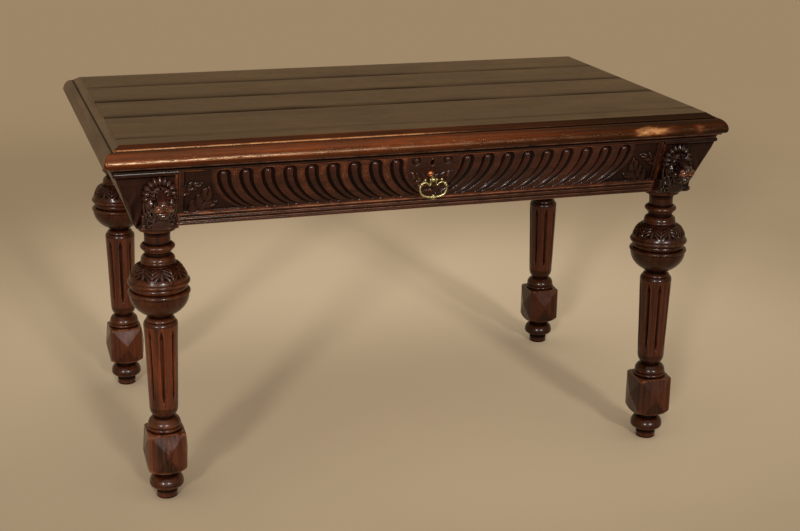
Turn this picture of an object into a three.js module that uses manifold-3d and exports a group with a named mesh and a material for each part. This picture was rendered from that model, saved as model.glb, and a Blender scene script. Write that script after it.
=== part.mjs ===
// Carved oak writing desk with one drawer, in millimetres.
// +X is to the sitter's right, -Y is the front, +Z is up. The origin is on the floor.
import * as THREE from 'three';
import { mergeVertices } from 'three/addons/utils/BufferGeometryUtils.js';
import Module from 'manifold-3d';

const wasm = await Module();
wasm.setup();

// Overall sizes
const deskLength = 1300;
const deskDepth = 795;
const deskHeight = 750;
const legInsetX = 42.5; // of a leg's axis from the frieze's foot, at the ends
const legInsetY = 21.7; // of a leg's axis from the frieze's foot, front and back

// Clearances
const gap = 0.3; // between two pieces that touch
const overrun = 30; // how far a cutter passes the piece it cuts
const bury = 1; // how far a joined lump reaches into the piece that carries it
const rightAngle = 90; // degrees

// Roundness, as numbers of sides and steps
const turnedSides = 14;
const shaftFlutes = 8;
const curveSteps = 3;
const beadSteps = 4;

// Moulded edge of the top, from its outermost line inwards
const edge = {
  thickness: 40,
  noseLowerInset: 7.5,
  noseLowerRise: 12,
  noseUpperInset: 14,
  noseUpperRise: 18,
  noseBack: 21.5,
  quirkWidth: 4,
  quirkDepth: 2.5,
  bevelRise: 3.5, // of the bevel's foot above the nose
  width: 37.5,
  shelfWidth: 22,
  shelfThickness: 12,
};

// Boards of the field, as shares of the field's depth, from the front
const boardWidthShares = [0.07, 0.273, 0.227, 0.233, 0.197];

// Canted frieze under the top, measured outwards from its bottom edge
const frieze = {
  height: 120,
  overhangX: 19.5, // of the top past the frieze, at the ends
  overhangY: 12.8, // of the top past the frieze, front and back
  reach: 45, // how far the top stands out past the bottom
  thickness: 23.4,
  bandHeight: 6.5,
  bandProud: 2.4,
  neckHeight: 10.7,
  neckInset: 5,
  tenonWall: 2.4, // between a mortise and the leg's bore
  tenonShoulder: 6,
  tenonLow: 14,
  tenonHigh: 36,
};

// Cove mould between the frieze and the top
const bedMould = { foot: 2.7, lip: 2.2, reach: 10.7, coveRise: 6 };

// Corner blocks: from a leg's axis to the faces towards the drawer and towards the side frieze
const cornerReach = 36;

// Rails above and below the drawer
const bottomRail = { height: 27, depth: 50, ledgeProud: 3.4, ledgeHeight: 4, ledgeRound: 1.6 };
const topRail = { depth: 70 };

// Drawer
const drawer = {
  sideClearance: 1.5,
  frontClearance: 0.6,
  backRoom: 60, // between the box and the foot of the back frieze
  headroom: 8.7, // between the box and the kickers
  sideThickness: 12,
  backThickness: 12,
  bottomThickness: 8,
  bottomRise: 8,
  grooveDepth: 5,
  runGap: 0.3,
};

// Sunk carved field of the drawer front, and its gadroons
const carving = {
  marginX: 12,
  marginBottom: 6,
  marginTop: 7,
  depth: 4,
  count: 9, // on each side of the lock
  firstShare: 0.148, // of the front's half length, to the gadroon nearest the middle
  pitchShare: 0.0853, // of the front's half length, from one gadroon to the next
  headRadius: 8.5,
  tailRadius: 2.2,
  headDrop: 14,
  tailRise: 9,
  sweepPitches: 1.3, // how far a tail runs towards the middle
  sunkShare: 0.5, // of a tongue's radius, how deep its middle lies
  sides: 8,
};

// Runners, guides, kickers and stops of the drawer
const slideway = {
  runnerWidth: 40,
  runnerThickness: 20,
  guideHeight: 24,
  guideThickness: 10.4,
  guideInset: 39.7, // of both ends from the frieze's foot
  kickerWidth: 40,
  stopLength: 20,
  stopHeight: 14,
};

// Lock in the drawer front, and its keyhole
const lock = {
  width: 64,
  height: 30,
  thickness: 11,
  boltWidth: 22,
  boltThickness: 5,
  boltHeight: 20,
  boltTravel: 8,
  boltClearance: 0.5,
  boltBack: 3,
  keyholeWidth: 8,
  keyholeHeight: 12,
  keyholeDrop: 12,
};

// Brass pull: a post with a cross bar, and a bail that swings on the bar
const pull = {
  lockDrop: 7.3, // of the post's axis under the lock's case
  barProud: 17.6, // of the bar's line before the drawer front
  barRadius: 2,
  barHalfLength: 17.5,
  endBallRadius: 3,
  bossRadius: 4,
  bossHalfWidth: 4.2,
  postRadius: 3.2,
  postPlateRadius: 9,
  postPlateThickness: 2.5,
  nutWidth: 11,
  nutThickness: 4,
  endLength: 2,
  sides: 8,
};
const bail = {
  tubeRadius: 2.3,
  eyeRadius: 4,
  eyeWidth: 3.2,
  eyeCentre: 6.5,
  knopRadius: 3.8,
  dropRadius: 5,
  halfWidth: 28,
  height: 35.5,
  clearance: 0.3,
};
// Line of one half of the bail, as shares of its half width and its height
const bailLineShares = [
  [0.232, 0.09], [0.25, 0.2], [0.36, 0.235], [0.6, 0.15], [0.84, 0.19], [0.97, 0.36],
  [1, 0.52], [0.92, 0.76], [0.7, 0.91], [0.4, 0.98], [0, 1],
];
const bailKnopShare = 6;

// Leg, from the floor up: heights of its members and their radii
const leg = {
  footRadius: 21,
  footEase: 1.5,
  footHeight: 24,
  footRingRoot: 28.5,
  footRingRadius: 35,
  footRingSwell: 8,
  footRingFall: 18,
  ankleRadius: 22.5,
  ankleHeight: 10,
  blockSide: 75,
  blockHeight: 90,
  blockFootRadius: 24,
  blockFootLop: 19,
  blockHeadRadius: 40,
  blockHeadLop: 6,
  pyramidSide: 64,
  pyramidRise: 7,
  cushionRadius: 35,
  cushionHeight: 9,
  capRingRadius: 33,
  capRingHeight: 18.5,
  neckRadius: 20,
  neckHeight: 4,
  shaftFootRadius: 29,
  shaftFootHeight: 20,
  shaftTopRadius: 34.3,
  shoulderHeight: 17,
  waistRadius: 20.5,
  waistHeight: 5,
  bowlFootRadius: 22,
  bowlRadius: 58,
  bowlHeight: 43,
  ringRoot: 56.5,
  ringRadius: 61.5,
  lowerRingHeight: 9,
  grooveRadius: 53,
  grooveHeight: 12,
  upperRingHeight: 10,
  domeRadius: 58,
  domeHeight: 31.5,
  domeTopRadius: 38,
  collarRoot: 32,
  collarRadius: 34.4,
  collarHeight: 8,
  throatRadius: 25.3,
  throatHeight: 20.2,
  filletRadius: 28.2,
  astragalRadius: 34,
  astragalHeight: 13,
  scotiaHeight: 28,
  padRadius: 36.6,
  padHeight: 7.7,
  tenonRadius: 15,
  tenonLength: 40,
};

// Flutes of the leg's shaft
const flute = { halfAngle: 10, depth: 4, runOut: 8, margin: 8, skin: 0.2 };

// Lion heads: lumps placed from the head's centre, on the leg's axis; rises are above the
// frieze's bottom, and every proud is the stand-out past the frieze's foot
const lion = {
  centreShare: 0.575, // of the frieze's height
  halfBase: 35,
  innerRoom: 0.5, // between a head and the edge of its block, towards the drawer
  baseRise: 4,
  baseProud: 30.3,
  chestRise: 33,
  chestProud: 38.3,
  topShare: 0.925, // of the frieze's height
  skull: { up: 2, proud: 34.3, radii: [28, 26, 30] },
  muzzle: { up: -10, proud: 64.3, radii: [18, 28, 13] },
  nose: { up: -3, proud: 84.3, radii: [9, 9, 6.5] },
  jaw: { up: -29, proud: 58.3, radii: [13, 15, 9] },
  brow: { side: 12, up: 13, proud: 52.3, radii: [10, 8, 6] },
  cheek: { side: 17, up: -9, proud: 46.3, radii: [12, 14, 13] },
  ear: { side: 28, up: 20, proud: 42.3, radii: [7, 7, 8] },
  maneRadius: 36,
  maneProud: 36.3,
  maneRadii: [6.5, 9, 11],
  maneLocks: 11,
  maneSpan: 250, // degrees
  lumpSides: 8,
  lumpRings: 6,
  lockSides: 6,
  lockRings: 5,
};

// Cleats, screws and glue blocks under the top
const cleat = { width: 60, count: 3, spacingShare: 0.828 }; // of the opening's half width
const screw = {
  shankRadius: 2.5,
  headRadius: 5,
  headHeight: 3,
  length: 24,
  clearance: 0.3,
  sides: 8,
  placeShare: 0.71, // of a cleat's half length
};
const glueBlock = { length: 60, leg: 18, placeShare: 0.425 }; // of the side frieze's half length

// Places worked out from the sizes above
const topUnderside = deskHeight - edge.thickness;
const friezeTop = topUnderside - gap;
const friezeShoulder = friezeTop - frieze.neckHeight;
const friezeBottom = friezeShoulder - frieze.height;
const friezeFootX = deskLength / 2 - frieze.overhangX - frieze.reach;
const friezeFootY = deskDepth / 2 - frieze.overhangY - frieze.reach;
const cant = Math.atan2(frieze.reach, frieze.height);
const tenonLength = cornerReach - leg.tenonRadius - 2 * gap - frieze.tenonWall;
const legX = friezeFootX - legInsetX;
const legY = friezeFootY - legInsetY;
const openingHalf = legX - cornerReach;
const blockInnerY = legY - cornerReach;
const drawerFloor = friezeBottom + bottomRail.height;
const boxFloor = drawerFloor + drawer.runGap;
const boxTop = friezeShoulder - drawer.headroom;
const boxHalf = openingHalf - gap - slideway.guideThickness - drawer.runGap;
const boxInnerHalf = boxHalf - drawer.sideThickness;
const boxBack = friezeFootY - frieze.thickness - drawer.backRoom;
const bottomLow = boxFloor + drawer.bottomRise;
const bottomHigh = bottomLow + drawer.bottomThickness;
const fieldHalfX = deskLength / 2 - edge.width;
const fieldHalfY = deskDepth / 2 - edge.width;
const boardUnderside = topUnderside + edge.shelfThickness + gap;
const cleatHalfY = fieldHalfY - edge.shelfWidth - gap;
const cleatSpacing = openingHalf * cleat.spacingShare;
const screwY = cleatHalfY * screw.placeShare;
const glueBlockY = blockInnerY * glueBlock.placeShare;
// The front-most point is the lions' nose, so the desk is set back to centre its whole box.
const boxShiftY = (friezeFootY + lion.nose.proud + lion.nose.radii[1] - deskDepth / 2) / 2;

// Materials
function wood(color, roughness) {
  return new THREE.MeshStandardMaterial({ color, roughness, metalness: 0 });
}
const materials = {
  field: wood(0x5f4a30, 0.5),
  moulding: wood(0x7a3f1c, 0.35),
  frieze: wood(0x3a1d12, 0.35),
  leg: wood(0x46210f, 0.3),
  carved: wood(0x2e170f, 0.4),
  inner: wood(0x8a6a44, 0.7),
  brass: new THREE.MeshStandardMaterial({ color: 0xa88a3c, roughness: 0.35, metalness: 1 }),
  iron: new THREE.MeshStandardMaterial({ color: 0x4a4744, roughness: 0.55, metalness: 1 }),
};

// Solids: closed geometry to a solid, and back
function signedVolume(positions, index) {
  const a = new THREE.Vector3();
  const b = new THREE.Vector3();
  const c = new THREE.Vector3();
  let sum = 0;
  for (let i = 0; i < index.length; i += 3) {
    a.fromArray(positions, index[i] * 3);
    b.fromArray(positions, index[i + 1] * 3);
    c.fromArray(positions, index[i + 2] * 3);
    sum += a.dot(b.cross(c));
  }
  return sum;
}

function solid(geometry) {
  const bare = geometry.clone();
  bare.deleteAttribute('normal');
  bare.deleteAttribute('uv');
  const merged = mergeVertices(bare);
  const vertProperties = merged.attributes.position.array;
  const triVerts = new Uint32Array(merged.index.array);
  if (signedVolume(vertProperties, triVerts) < 0) triVerts.reverse();
  return new wasm.Manifold(new wasm.Mesh({ numProp: 3, vertProperties, triVerts }));
}

function join(solids) {
  return solids.reduce((sum, next) => sum.add(next));
}

function piece(name, shape, material) {
  const made = shape.getMesh();
  const geometry = new THREE.BufferGeometry();
  geometry.setAttribute('position', new THREE.BufferAttribute(made.vertProperties, made.numProp));
  geometry.setIndex(new THREE.BufferAttribute(made.triVerts, 1));
  geometry.computeVertexNormals();
  const mesh = new THREE.Mesh(geometry, material);
  mesh.name = name;
  return mesh;
}

// Box between two corners
function box(low, high) {
  const size = high.map((value, axis) => value - low[axis]);
  const geometry = new THREE.BoxGeometry(...size);
  geometry.translate(...high.map((value, axis) => (value + low[axis]) / 2));
  return solid(geometry);
}

// Outline extruded along one axis: across [y, z] along X, or across [x, z] along Y
const alongX = new THREE.Matrix4().makeBasis(
  new THREE.Vector3(0, 1, 0), new THREE.Vector3(0, 0, 1), new THREE.Vector3(1, 0, 0));
const alongY = new THREE.Matrix4().makeBasis(
  new THREE.Vector3(1, 0, 0), new THREE.Vector3(0, 0, 1), new THREE.Vector3(0, -1, 0));

function extruded(outline, depth) {
  const shape = new THREE.Shape(outline.map(([u, v]) => new THREE.Vector2(u, v)));
  return new THREE.ExtrudeGeometry(shape, { depth, bevelEnabled: false });
}

function barAlongX(outline, from, to) {
  return solid(extruded(outline, to - from).translate(0, 0, from).applyMatrix4(alongX));
}

function barAlongY(outline, from, to) {
  return solid(extruded(outline, to - from).translate(0, 0, -to).applyMatrix4(alongY));
}

// Turned solid about the Z axis, from points [radius, height] that start and end on the axis
function turned(points, sides) {
  const outline = points.map(([radius, height]) => new THREE.Vector2(radius, height));
  return solid(new THREE.LatheGeometry(outline, sides).rotateX(Math.PI / 2));
}

function lump(centre, radii, sides, rings, tilt = 0) {
  const geometry = new THREE.SphereGeometry(1, sides, rings).scale(...radii);
  return solid(geometry.rotateY(tilt).translate(...centre));
}

// The canted face of the front frieze: x along the desk, s up the slope, n outwards
const frontSlope = new THREE.Matrix4().makeBasis(
  new THREE.Vector3(1, 0, 0),
  new THREE.Vector3(0, -Math.sin(cant), Math.cos(cant)),
  new THREE.Vector3(0, -Math.cos(cant), -Math.sin(cant)),
).setPosition(0, -friezeFootY, friezeBottom);

function slopeHeight(height) {
  return height / Math.cos(cant);
}

function onSlope(x, s, n) {
  return new THREE.Vector3(x, s, n).applyMatrix4(frontSlope);
}

function slopeBox(low, high) {
  const size = high.map((value, axis) => value - low[axis]);
  const geometry = new THREE.BoxGeometry(...size);
  geometry.translate(...high.map((value, axis) => (value + low[axis]) / 2));
  return solid(geometry.applyMatrix4(frontSlope));
}

// Outward offset of the canted face at a height above the frieze's bottom
function cantAt(rise) {
  return frieze.reach * rise / frieze.height;
}

// Outlines of the frieze as [outward offset, height]
function friezeOutline(inner) {
  const bandFoot = frieze.height - frieze.bandHeight;
  return [
    [-inner, friezeBottom],
    [0, friezeBottom],
    [frieze.reach - frieze.bandProud - cantAt(frieze.bandHeight), friezeBottom + bandFoot],
    [frieze.reach, friezeBottom + bandFoot],
    [frieze.reach, friezeShoulder],
    [frieze.reach - frieze.neckInset, friezeShoulder],
    [frieze.reach - frieze.neckInset, friezeTop],
    [frieze.reach - inner, friezeTop],
    [frieze.reach - inner, friezeShoulder],
  ];
}

function tenonOutline(clearance) {
  const inner = frieze.thickness - frieze.tenonShoulder + clearance;
  const outer = -frieze.tenonShoulder + clearance;
  const low = frieze.tenonLow - clearance;
  const high = frieze.height - frieze.tenonHigh + clearance;
  return [
    [cantAt(low) - inner, friezeBottom + low],
    [cantAt(low) + outer, friezeBottom + low],
    [cantAt(high) + outer, friezeBottom + high],
    [cantAt(high) - inner, friezeBottom + high],
  ];
}

// An outline of outward offsets, set on one side of the desk
function placed(outline, foot, side) {
  return outline.map(([offset, height]) => [side * (foot + offset), height]);
}

// Mitred length on one side of the desk, from an outline [inward distance, height]
function mitredLength(outline, halfRun, halfAcross, turn) {
  const contour = outline.map(([inward, height]) => new THREE.Vector2(inward, height));
  if (THREE.ShapeUtils.isClockWise(contour)) contour.reverse();
  const faces = THREE.ShapeUtils.triangulateShape(contour, []);
  const count = contour.length;
  const positions = [];
  for (const end of [-1, 1]) {
    for (const { x: inward, y: height } of contour) {
      const along = halfRun - inward - gap;
      positions.push(end * along, -(halfAcross - inward), height);
    }
  }
  const index = [];
  for (const [a, b, c] of faces) {
    index.push(a, b, c);
    index.push(count + c, count + b, count + a);
  }
  for (let i = 0; i < count; i++) {
    const next = (i + 1) % count;
    index.push(i, count + i, next);
    index.push(next, count + i, count + next);
  }
  const geometry = new THREE.BufferGeometry();
  geometry.setAttribute('position', new THREE.Float32BufferAttribute(positions, 3));
  geometry.setIndex(index);
  return solid(geometry.rotateZ(turn * Math.PI / 2));
}

const sides = [
  ['front', deskLength / 2, deskDepth / 2, 0],
  ['right', deskDepth / 2, deskLength / 2, 1],
  ['back', deskLength / 2, deskDepth / 2, 2],
  ['left', deskDepth / 2, deskLength / 2, 3],
];

// Moulded edge: nose, quirk, bevel, and the shelf that carries the boards
function edgeOutline() {
  const nose = [];
  for (let i = curveSteps; i >= 0; i--) {
    const angle = i / curveSteps * Math.PI / 2;
    const inward = edge.noseLowerInset * (1 - Math.cos(angle));
    nose.push([inward, edge.noseLowerRise * (1 - Math.sin(angle))]);
  }
  for (let i = 1; i <= curveSteps; i++) {
    const angle = i / curveSteps * Math.PI / 2;
    const inward = edge.noseUpperInset * (1 - Math.cos(angle));
    nose.push([inward, edge.noseLowerRise + edge.noseUpperRise * Math.sin(angle)]);
  }
  const noseTop = edge.noseLowerRise + edge.noseUpperRise;
  const rest = [
    [edge.noseBack, noseTop],
    [edge.noseBack, noseTop - edge.quirkDepth],
    [edge.noseBack + edge.quirkWidth, noseTop - edge.quirkDepth],
    [edge.noseBack + edge.quirkWidth, noseTop + edge.bevelRise],
    [edge.width, edge.thickness],
    [edge.width, edge.shelfThickness],
    [edge.width + edge.shelfWidth, edge.shelfThickness],
    [edge.width + edge.shelfWidth, 0],
  ];
  return [...nose, ...rest].map(([inward, rise]) => [inward, topUnderside + rise]);
}

function edgeMouldings(group) {
  for (const [side, halfRun, halfAcross, turn] of sides) {
    const length = mitredLength(edgeOutline(), halfRun, halfAcross, turn);
    group.add(piece(`edge_moulding_${side}`, length, materials.moulding));
  }
}

// Cove mould, planted on the frieze's neck
function bedMoulds(group) {
  for (const [side, halfRun, halfAcross, turn] of sides) {
    const overhang = turn % 2 ? frieze.overhangX : frieze.overhangY;
    const neck = overhang + frieze.neckInset - gap;
    const cove = [];
    for (let i = 0; i <= curveSteps; i++) {
      const angle = i / curveSteps * Math.PI / 2;
      const swing = (bedMould.reach - bedMould.foot) * (1 - Math.cos(angle));
      const rise = bedMould.lip + bedMould.coveRise * Math.sin(angle);
      cove.push([neck - bedMould.foot - swing, friezeShoulder + rise]);
    }
    const outline = [
      [neck, friezeShoulder + gap],
      [neck - bedMould.foot, friezeShoulder + gap],
      ...cove,
      [neck - bedMould.reach, friezeTop],
      [neck, friezeTop],
    ];
    const across = turn % 2 ? deskLength / 2 : deskDepth / 2;
    const other = turn % 2 ? frieze.overhangY : frieze.overhangX;
    const run = halfRun - other + overhang;
    group.add(piece(`bed_mould_${side}`, mitredLength(outline, run, across, turn), materials.moulding));
  }
}

// Wood screws that hold the boards from below, through the cleats
function screwPlaces() {
  const places = [];
  for (let i = 0; i < cleat.count; i++) {
    const x = (i - (cleat.count - 1) / 2) * cleatSpacing;
    places.push([x, -screwY], [x, screwY]);
  }
  return places;
}

function screwSolid(clearance) {
  const shank = screw.shankRadius + clearance;
  const head = screw.headRadius + clearance;
  const points = [
    [0, 0], [head, 0], [shank, screw.headHeight], [shank, screw.length], [0, screw.length + shank],
  ];
  return turned(points, screw.sides);
}

// Boards of the field, side by side on the shelf of the moulded edge
function topBoards(group) {
  const holes = screwPlaces().map(([x, y]) => screwSolid(screw.clearance).translate(x, y, friezeTop + gap));
  const low = -fieldHalfY + gap;
  const span = 2 * (fieldHalfY - gap);
  let front = low;
  boardWidthShares.forEach((share, i) => {
    const back = front + share * span;
    const trim = i < boardWidthShares.length - 1 ? gap : 0;
    const board = box(
      [-fieldHalfX + gap, front, boardUnderside],
      [fieldHalfX - gap, back - trim, deskHeight],
    );
    const bored = holes.reduce((rest, hole) => rest.subtract(hole), board);
    group.add(piece(`top_board_${i + 1}`, bored, materials.field));
    front = back;
  });
}

function cleats(group) {
  for (let i = 0; i < cleat.count; i++) {
    const x = (i - (cleat.count - 1) / 2) * cleatSpacing;
    const bar = box(
      [x - cleat.width / 2, -cleatHalfY, topUnderside],
      [x + cleat.width / 2, cleatHalfY, boardUnderside - gap],
    );
    const bored = [-screwY, screwY].reduce(
      (rest, y) => rest.subtract(screwSolid(screw.clearance).translate(x, y, topUnderside)), bar);
    group.add(piece(`top_cleat_${i + 1}`, bored, materials.inner));
  }
}

function screws(group) {
  screwPlaces().forEach(([x, y], i) => {
    const one = screwSolid(0).translate(x, y, topUnderside);
    group.add(piece(`top_screw_${i + 1}`, one, materials.iron));
  });
}

function glueBlocks(group) {
  const inner = frieze.reach - frieze.thickness - gap;
  const outline = [
    [inner, friezeTop],
    [inner, friezeShoulder],
    [inner - glueBlock.leg, friezeTop],
  ];
  for (const [name, side] of [['left', -1], ['right', 1]]) {
    for (const [end, y] of [['front', -glueBlockY], ['back', glueBlockY]]) {
      const half = glueBlock.length / 2;
      const block = barAlongY(placed(outline, friezeFootX, side), y - half, y + half);
      group.add(piece(`glue_block_${name}_${end}`, block, materials.inner));
    }
  }
}

// Frieze boards with a tenon at each end
function friezes(group) {
  const board = friezeOutline(frieze.thickness);
  const tenon = tenonOutline(0);
  const halfY = blockInnerY - gap;
  const halfX = openingHalf - gap;
  const reachY = halfY + tenonLength;
  const reachX = halfX + tenonLength;
  for (const [name, side] of [['left', -1], ['right', 1]]) {
    const long = barAlongY(placed(tenon, friezeFootX, side), -reachY, reachY);
    const plain = barAlongY(placed(board, friezeFootX, side), -halfY, halfY);
    group.add(piece(`frieze_${name}`, plain.add(long), materials.frieze));
  }
  const plain = barAlongX(placed(board, friezeFootY, 1), -halfX, halfX);
  const long = barAlongX(placed(tenon, friezeFootY, 1), -reachX, reachX);
  group.add(piece('frieze_back', plain.add(long), materials.frieze));
}

// Moulded rail under the drawer, with a ledge along its top
function bottomRailOutline() {
  const top = bottomRail.height;
  const ledgeFoot = top - bottomRail.ledgeHeight;
  return [
    [-bottomRail.depth, friezeBottom],
    [0, friezeBottom],
    [cantAt(ledgeFoot), friezeBottom + ledgeFoot],
    [cantAt(ledgeFoot) + bottomRail.ledgeProud, friezeBottom + ledgeFoot + bottomRail.ledgeRound],
    [cantAt(top) + bottomRail.ledgeProud, friezeBottom + top - bottomRail.ledgeRound],
    [cantAt(top), friezeBottom + top],
    [-bottomRail.depth, friezeBottom + top],
  ];
}

function railTenon(clearance) {
  const low = frieze.tenonShoulder - clearance;
  const high = bottomRail.height - frieze.tenonShoulder + clearance;
  const back = bottomRail.depth - frieze.tenonShoulder + clearance;
  const front = frieze.tenonShoulder - clearance;
  return [[-back, friezeBottom + low], [-front, friezeBottom + low],
    [-front, friezeBottom + high], [-back, friezeBottom + high]];
}

function drawerRails(group) {
  const half = openingHalf - gap;
  const reach = half + tenonLength;
  const plain = barAlongX(placed(bottomRailOutline(), friezeFootY, -1), -half, half);
  const tenon = barAlongX(placed(railTenon(0), friezeFootY, -1), -reach, reach);
  group.add(piece('front_bottom_rail', plain.add(tenon), materials.frieze));

  const front = friezeFootY + frieze.reach - frieze.neckInset;
  const bar = box([-half, -front, friezeShoulder], [half, topRail.depth - front, friezeTop]);
  const lockSlot = boltSolid(lock.boltClearance, lock.boltTravel);
  group.add(piece('front_top_rail', bar.subtract(lockSlot), materials.frieze));
}

// Corner block: the frieze's outline from both sides, bored for the leg and cut for the tenons
function cornerBlock(sideX, sideY) {
  const outlineX = friezeOutline(friezeFootX - openingHalf);
  const outlineY = friezeOutline(friezeFootY - blockInnerY);
  const innerX = [[openingHalf - friezeFootX, friezeBottom], ...outlineX.slice(1, -2),
    [openingHalf - friezeFootX, friezeTop]];
  const innerY = [[blockInnerY - friezeFootY, friezeBottom], ...outlineY.slice(1, -2),
    [blockInnerY - friezeFootY, friezeTop]];
  const farX = friezeFootX + frieze.reach + overrun;
  const farY = friezeFootY + frieze.reach + overrun;
  const acrossX = placed(innerX, friezeFootX, sideX);
  const acrossY = placed(innerY, friezeFootY, sideY);
  const spanX = sideX > 0 ? [openingHalf, farX] : [-farX, -openingHalf];
  const spanY = sideY > 0 ? [blockInnerY, farY] : [-farY, -blockInnerY];
  const block = barAlongY(acrossX, ...spanY).intersect(barAlongX(acrossY, ...spanX));
  return cutForJoints(block, sideX, sideY);
}

function cutForJoints(block, sideX, sideY) {
  const mortise = tenonLength + gap;
  const deepY = [sideY * (blockInnerY - overrun), sideY * (blockInnerY + mortise)];
  const deepX = [sideX * (openingHalf - overrun), sideX * (openingHalf + mortise)];
  deepY.sort((a, b) => a - b);
  deepX.sort((a, b) => a - b);
  const bore = leg.tenonRadius + gap;
  const boreDepth = leg.tenonLength + gap;
  const hole = turned([[0, -overrun], [bore, -overrun], [bore, boreDepth], [0, boreDepth]], turnedSides);
  const cutters = [
    barAlongY(placed(tenonOutline(gap), friezeFootX, sideX), ...deepY),
    hole.translate(sideX * legX, sideY * legY, friezeBottom),
  ];
  if (sideY > 0) cutters.push(barAlongX(placed(tenonOutline(gap), friezeFootY, 1), ...deepX));
  else cutters.push(barAlongX(placed(railTenon(gap), friezeFootY, -1), ...deepX));
  return cutters.reduce((rest, cutter) => rest.subtract(cutter), block);
}

const corners = [['front_left', -1, -1], ['front_right', 1, -1], ['back_left', -1, 1], ['back_right', 1, 1]];

function cornerBlocks(group) {
  for (const [name, sideX, sideY] of corners) {
    group.add(piece(`corner_block_${name}`, cornerBlock(sideX, sideY), materials.frieze));
  }
}

// Turned outline, built member by member from the floor up
class Turning {
  constructor(height = 0) {
    this.height = height;
    this.points = [[0, height]];
  }

  step(radius) {
    this.points.push([radius, this.height]);
    return this;
  }

  rise(radius, height) {
    this.height += height;
    this.points.push([radius, this.height]);
    return this;
  }

  // Half round that stands out from a root radius
  bead(root, radius, height) {
    for (let i = 0; i <= beadSteps; i++) {
      const angle = i / beadSteps * Math.PI;
      const out = root + (radius - root) * Math.sin(angle);
      this.points.push([out, this.height + height * (1 - Math.cos(angle)) / 2]);
    }
    this.height += height;
    return this;
  }

  // Hollow between two radii with its throat half way up
  cove(from, throat, to, height) {
    for (let i = 0; i <= beadSteps; i++) {
      const share = i / beadSteps;
      const side = share < 0.5 ? from : to;
      const out = throat + (side - throat) * (1 - Math.sin(share * Math.PI));
      this.points.push([out, this.height + height * share]);
    }
    this.height += height;
    return this;
  }

  // Quarter round that swells (or narrows) from one radius to the next
  quarter(from, to, height, swelling) {
    for (let i = 0; i <= curveSteps; i++) {
      const angle = i / curveSteps * Math.PI / 2;
      const across = swelling ? Math.sin(angle) : 1 - Math.cos(angle);
      const up = swelling ? 1 - Math.cos(angle) : Math.sin(angle);
      this.points.push([from + (to - from) * across, this.height + height * up]);
    }
    this.height += height;
    return this;
  }

  close() {
    this.points.push([0, this.height]);
    return this.points;
  }
}

const legTop = friezeBottom - gap;
const shaftTopHeight = legTop - leg.padHeight - leg.scotiaHeight - leg.astragalHeight - leg.throatHeight
  - leg.collarHeight - leg.domeHeight - leg.upperRingHeight - leg.grooveHeight - leg.lowerRingHeight
  - leg.bowlHeight - leg.waistHeight - leg.shoulderHeight;
const blockFoot = leg.footHeight + leg.footRingSwell + leg.footRingFall + leg.ankleHeight;
const shaftFootHeight = blockFoot + leg.blockHeight + leg.cushionHeight + leg.capRingHeight
  + leg.neckHeight + leg.shaftFootHeight;

function legTurning() {
  const line = new Turning();
  line.step(leg.footRadius - leg.footEase).rise(leg.footRadius, leg.footEase);
  line.rise(leg.footRadius, leg.footHeight - leg.footEase);
  line.step(leg.footRingRoot).quarter(leg.footRingRoot, leg.footRingRadius, leg.footRingSwell, true);
  line.quarter(leg.footRingRadius, leg.ankleRadius, leg.footRingFall, false);
  line.rise(leg.ankleRadius, leg.ankleHeight + leg.blockHeight);
  line.bead(leg.ankleRadius, leg.cushionRadius, leg.cushionHeight);
  line.step(leg.capRingRadius).quarter(leg.capRingRadius, leg.neckRadius, leg.capRingHeight, false);
  line.rise(leg.neckRadius, leg.neckHeight);
  line.quarter(leg.neckRadius, leg.shaftFootRadius, leg.shaftFootHeight, true);
  line.step(leg.shaftFootRadius - flute.depth - bury);
  line.rise(leg.shaftFootRadius - flute.depth - bury, shaftTopHeight - shaftFootHeight);
  line.step(leg.shaftTopRadius);
  line.quarter(leg.shaftTopRadius, leg.waistRadius, leg.shoulderHeight, false);
  line.rise(leg.waistRadius, leg.waistHeight);
  line.step(leg.bowlFootRadius).quarter(leg.bowlFootRadius, leg.bowlRadius, leg.bowlHeight, true);
  line.bead(leg.ringRoot, leg.ringRadius, leg.lowerRingHeight);
  line.step(leg.grooveRadius).rise(leg.grooveRadius, leg.grooveHeight);
  line.bead(leg.ringRoot, leg.ringRadius, leg.upperRingHeight);
  line.step(leg.domeRadius).quarter(leg.domeRadius, leg.domeTopRadius, leg.domeHeight, false);
  line.bead(leg.collarRoot, leg.collarRadius, leg.collarHeight);
  line.cove(leg.collarRoot, leg.throatRadius, leg.filletRadius, leg.throatHeight);
  line.bead(leg.throatRadius, leg.astragalRadius, leg.astragalHeight);
  line.cove(leg.filletRadius, leg.throatRadius, leg.padRadius, leg.scotiaHeight);
  line.rise(leg.padRadius, leg.padHeight);
  line.step(leg.tenonRadius).rise(leg.tenonRadius, leg.tenonLength);
  return line.close();
}

// Fluted shaft: rings of points, with the flutes running out near both ends
function flutedShaft() {
  const low = shaftFootHeight - bury;
  const high = shaftTopHeight + bury;
  const stations = [
    [low, 0],
    [low + flute.margin, 0],
    [low + flute.margin + flute.runOut, flute.depth],
    [high - flute.margin - flute.runOut, flute.depth],
    [high - flute.margin, 0],
    [high, 0],
  ];
  const half = THREE.MathUtils.degToRad(flute.halfAngle);
  const perFlute = [-half, 0, half, Math.PI / shaftFlutes];
  const count = shaftFlutes * perFlute.length;
  const positions = [];
  for (const [height, depth] of stations) {
    const share = (height - low) / (high - low);
    const radius = flute.skin + THREE.MathUtils.lerp(leg.shaftFootRadius, leg.shaftTopRadius, share);
    for (let i = 0; i < shaftFlutes; i++) {
      perFlute.forEach((offset, k) => {
        const angle = i / shaftFlutes * 2 * Math.PI + offset;
        const reach = k === 1 ? radius - depth : radius;
        positions.push(reach * Math.cos(angle), reach * Math.sin(angle), height);
      });
    }
  }
  return solid(lofted(positions, count, stations.length));
}

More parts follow.
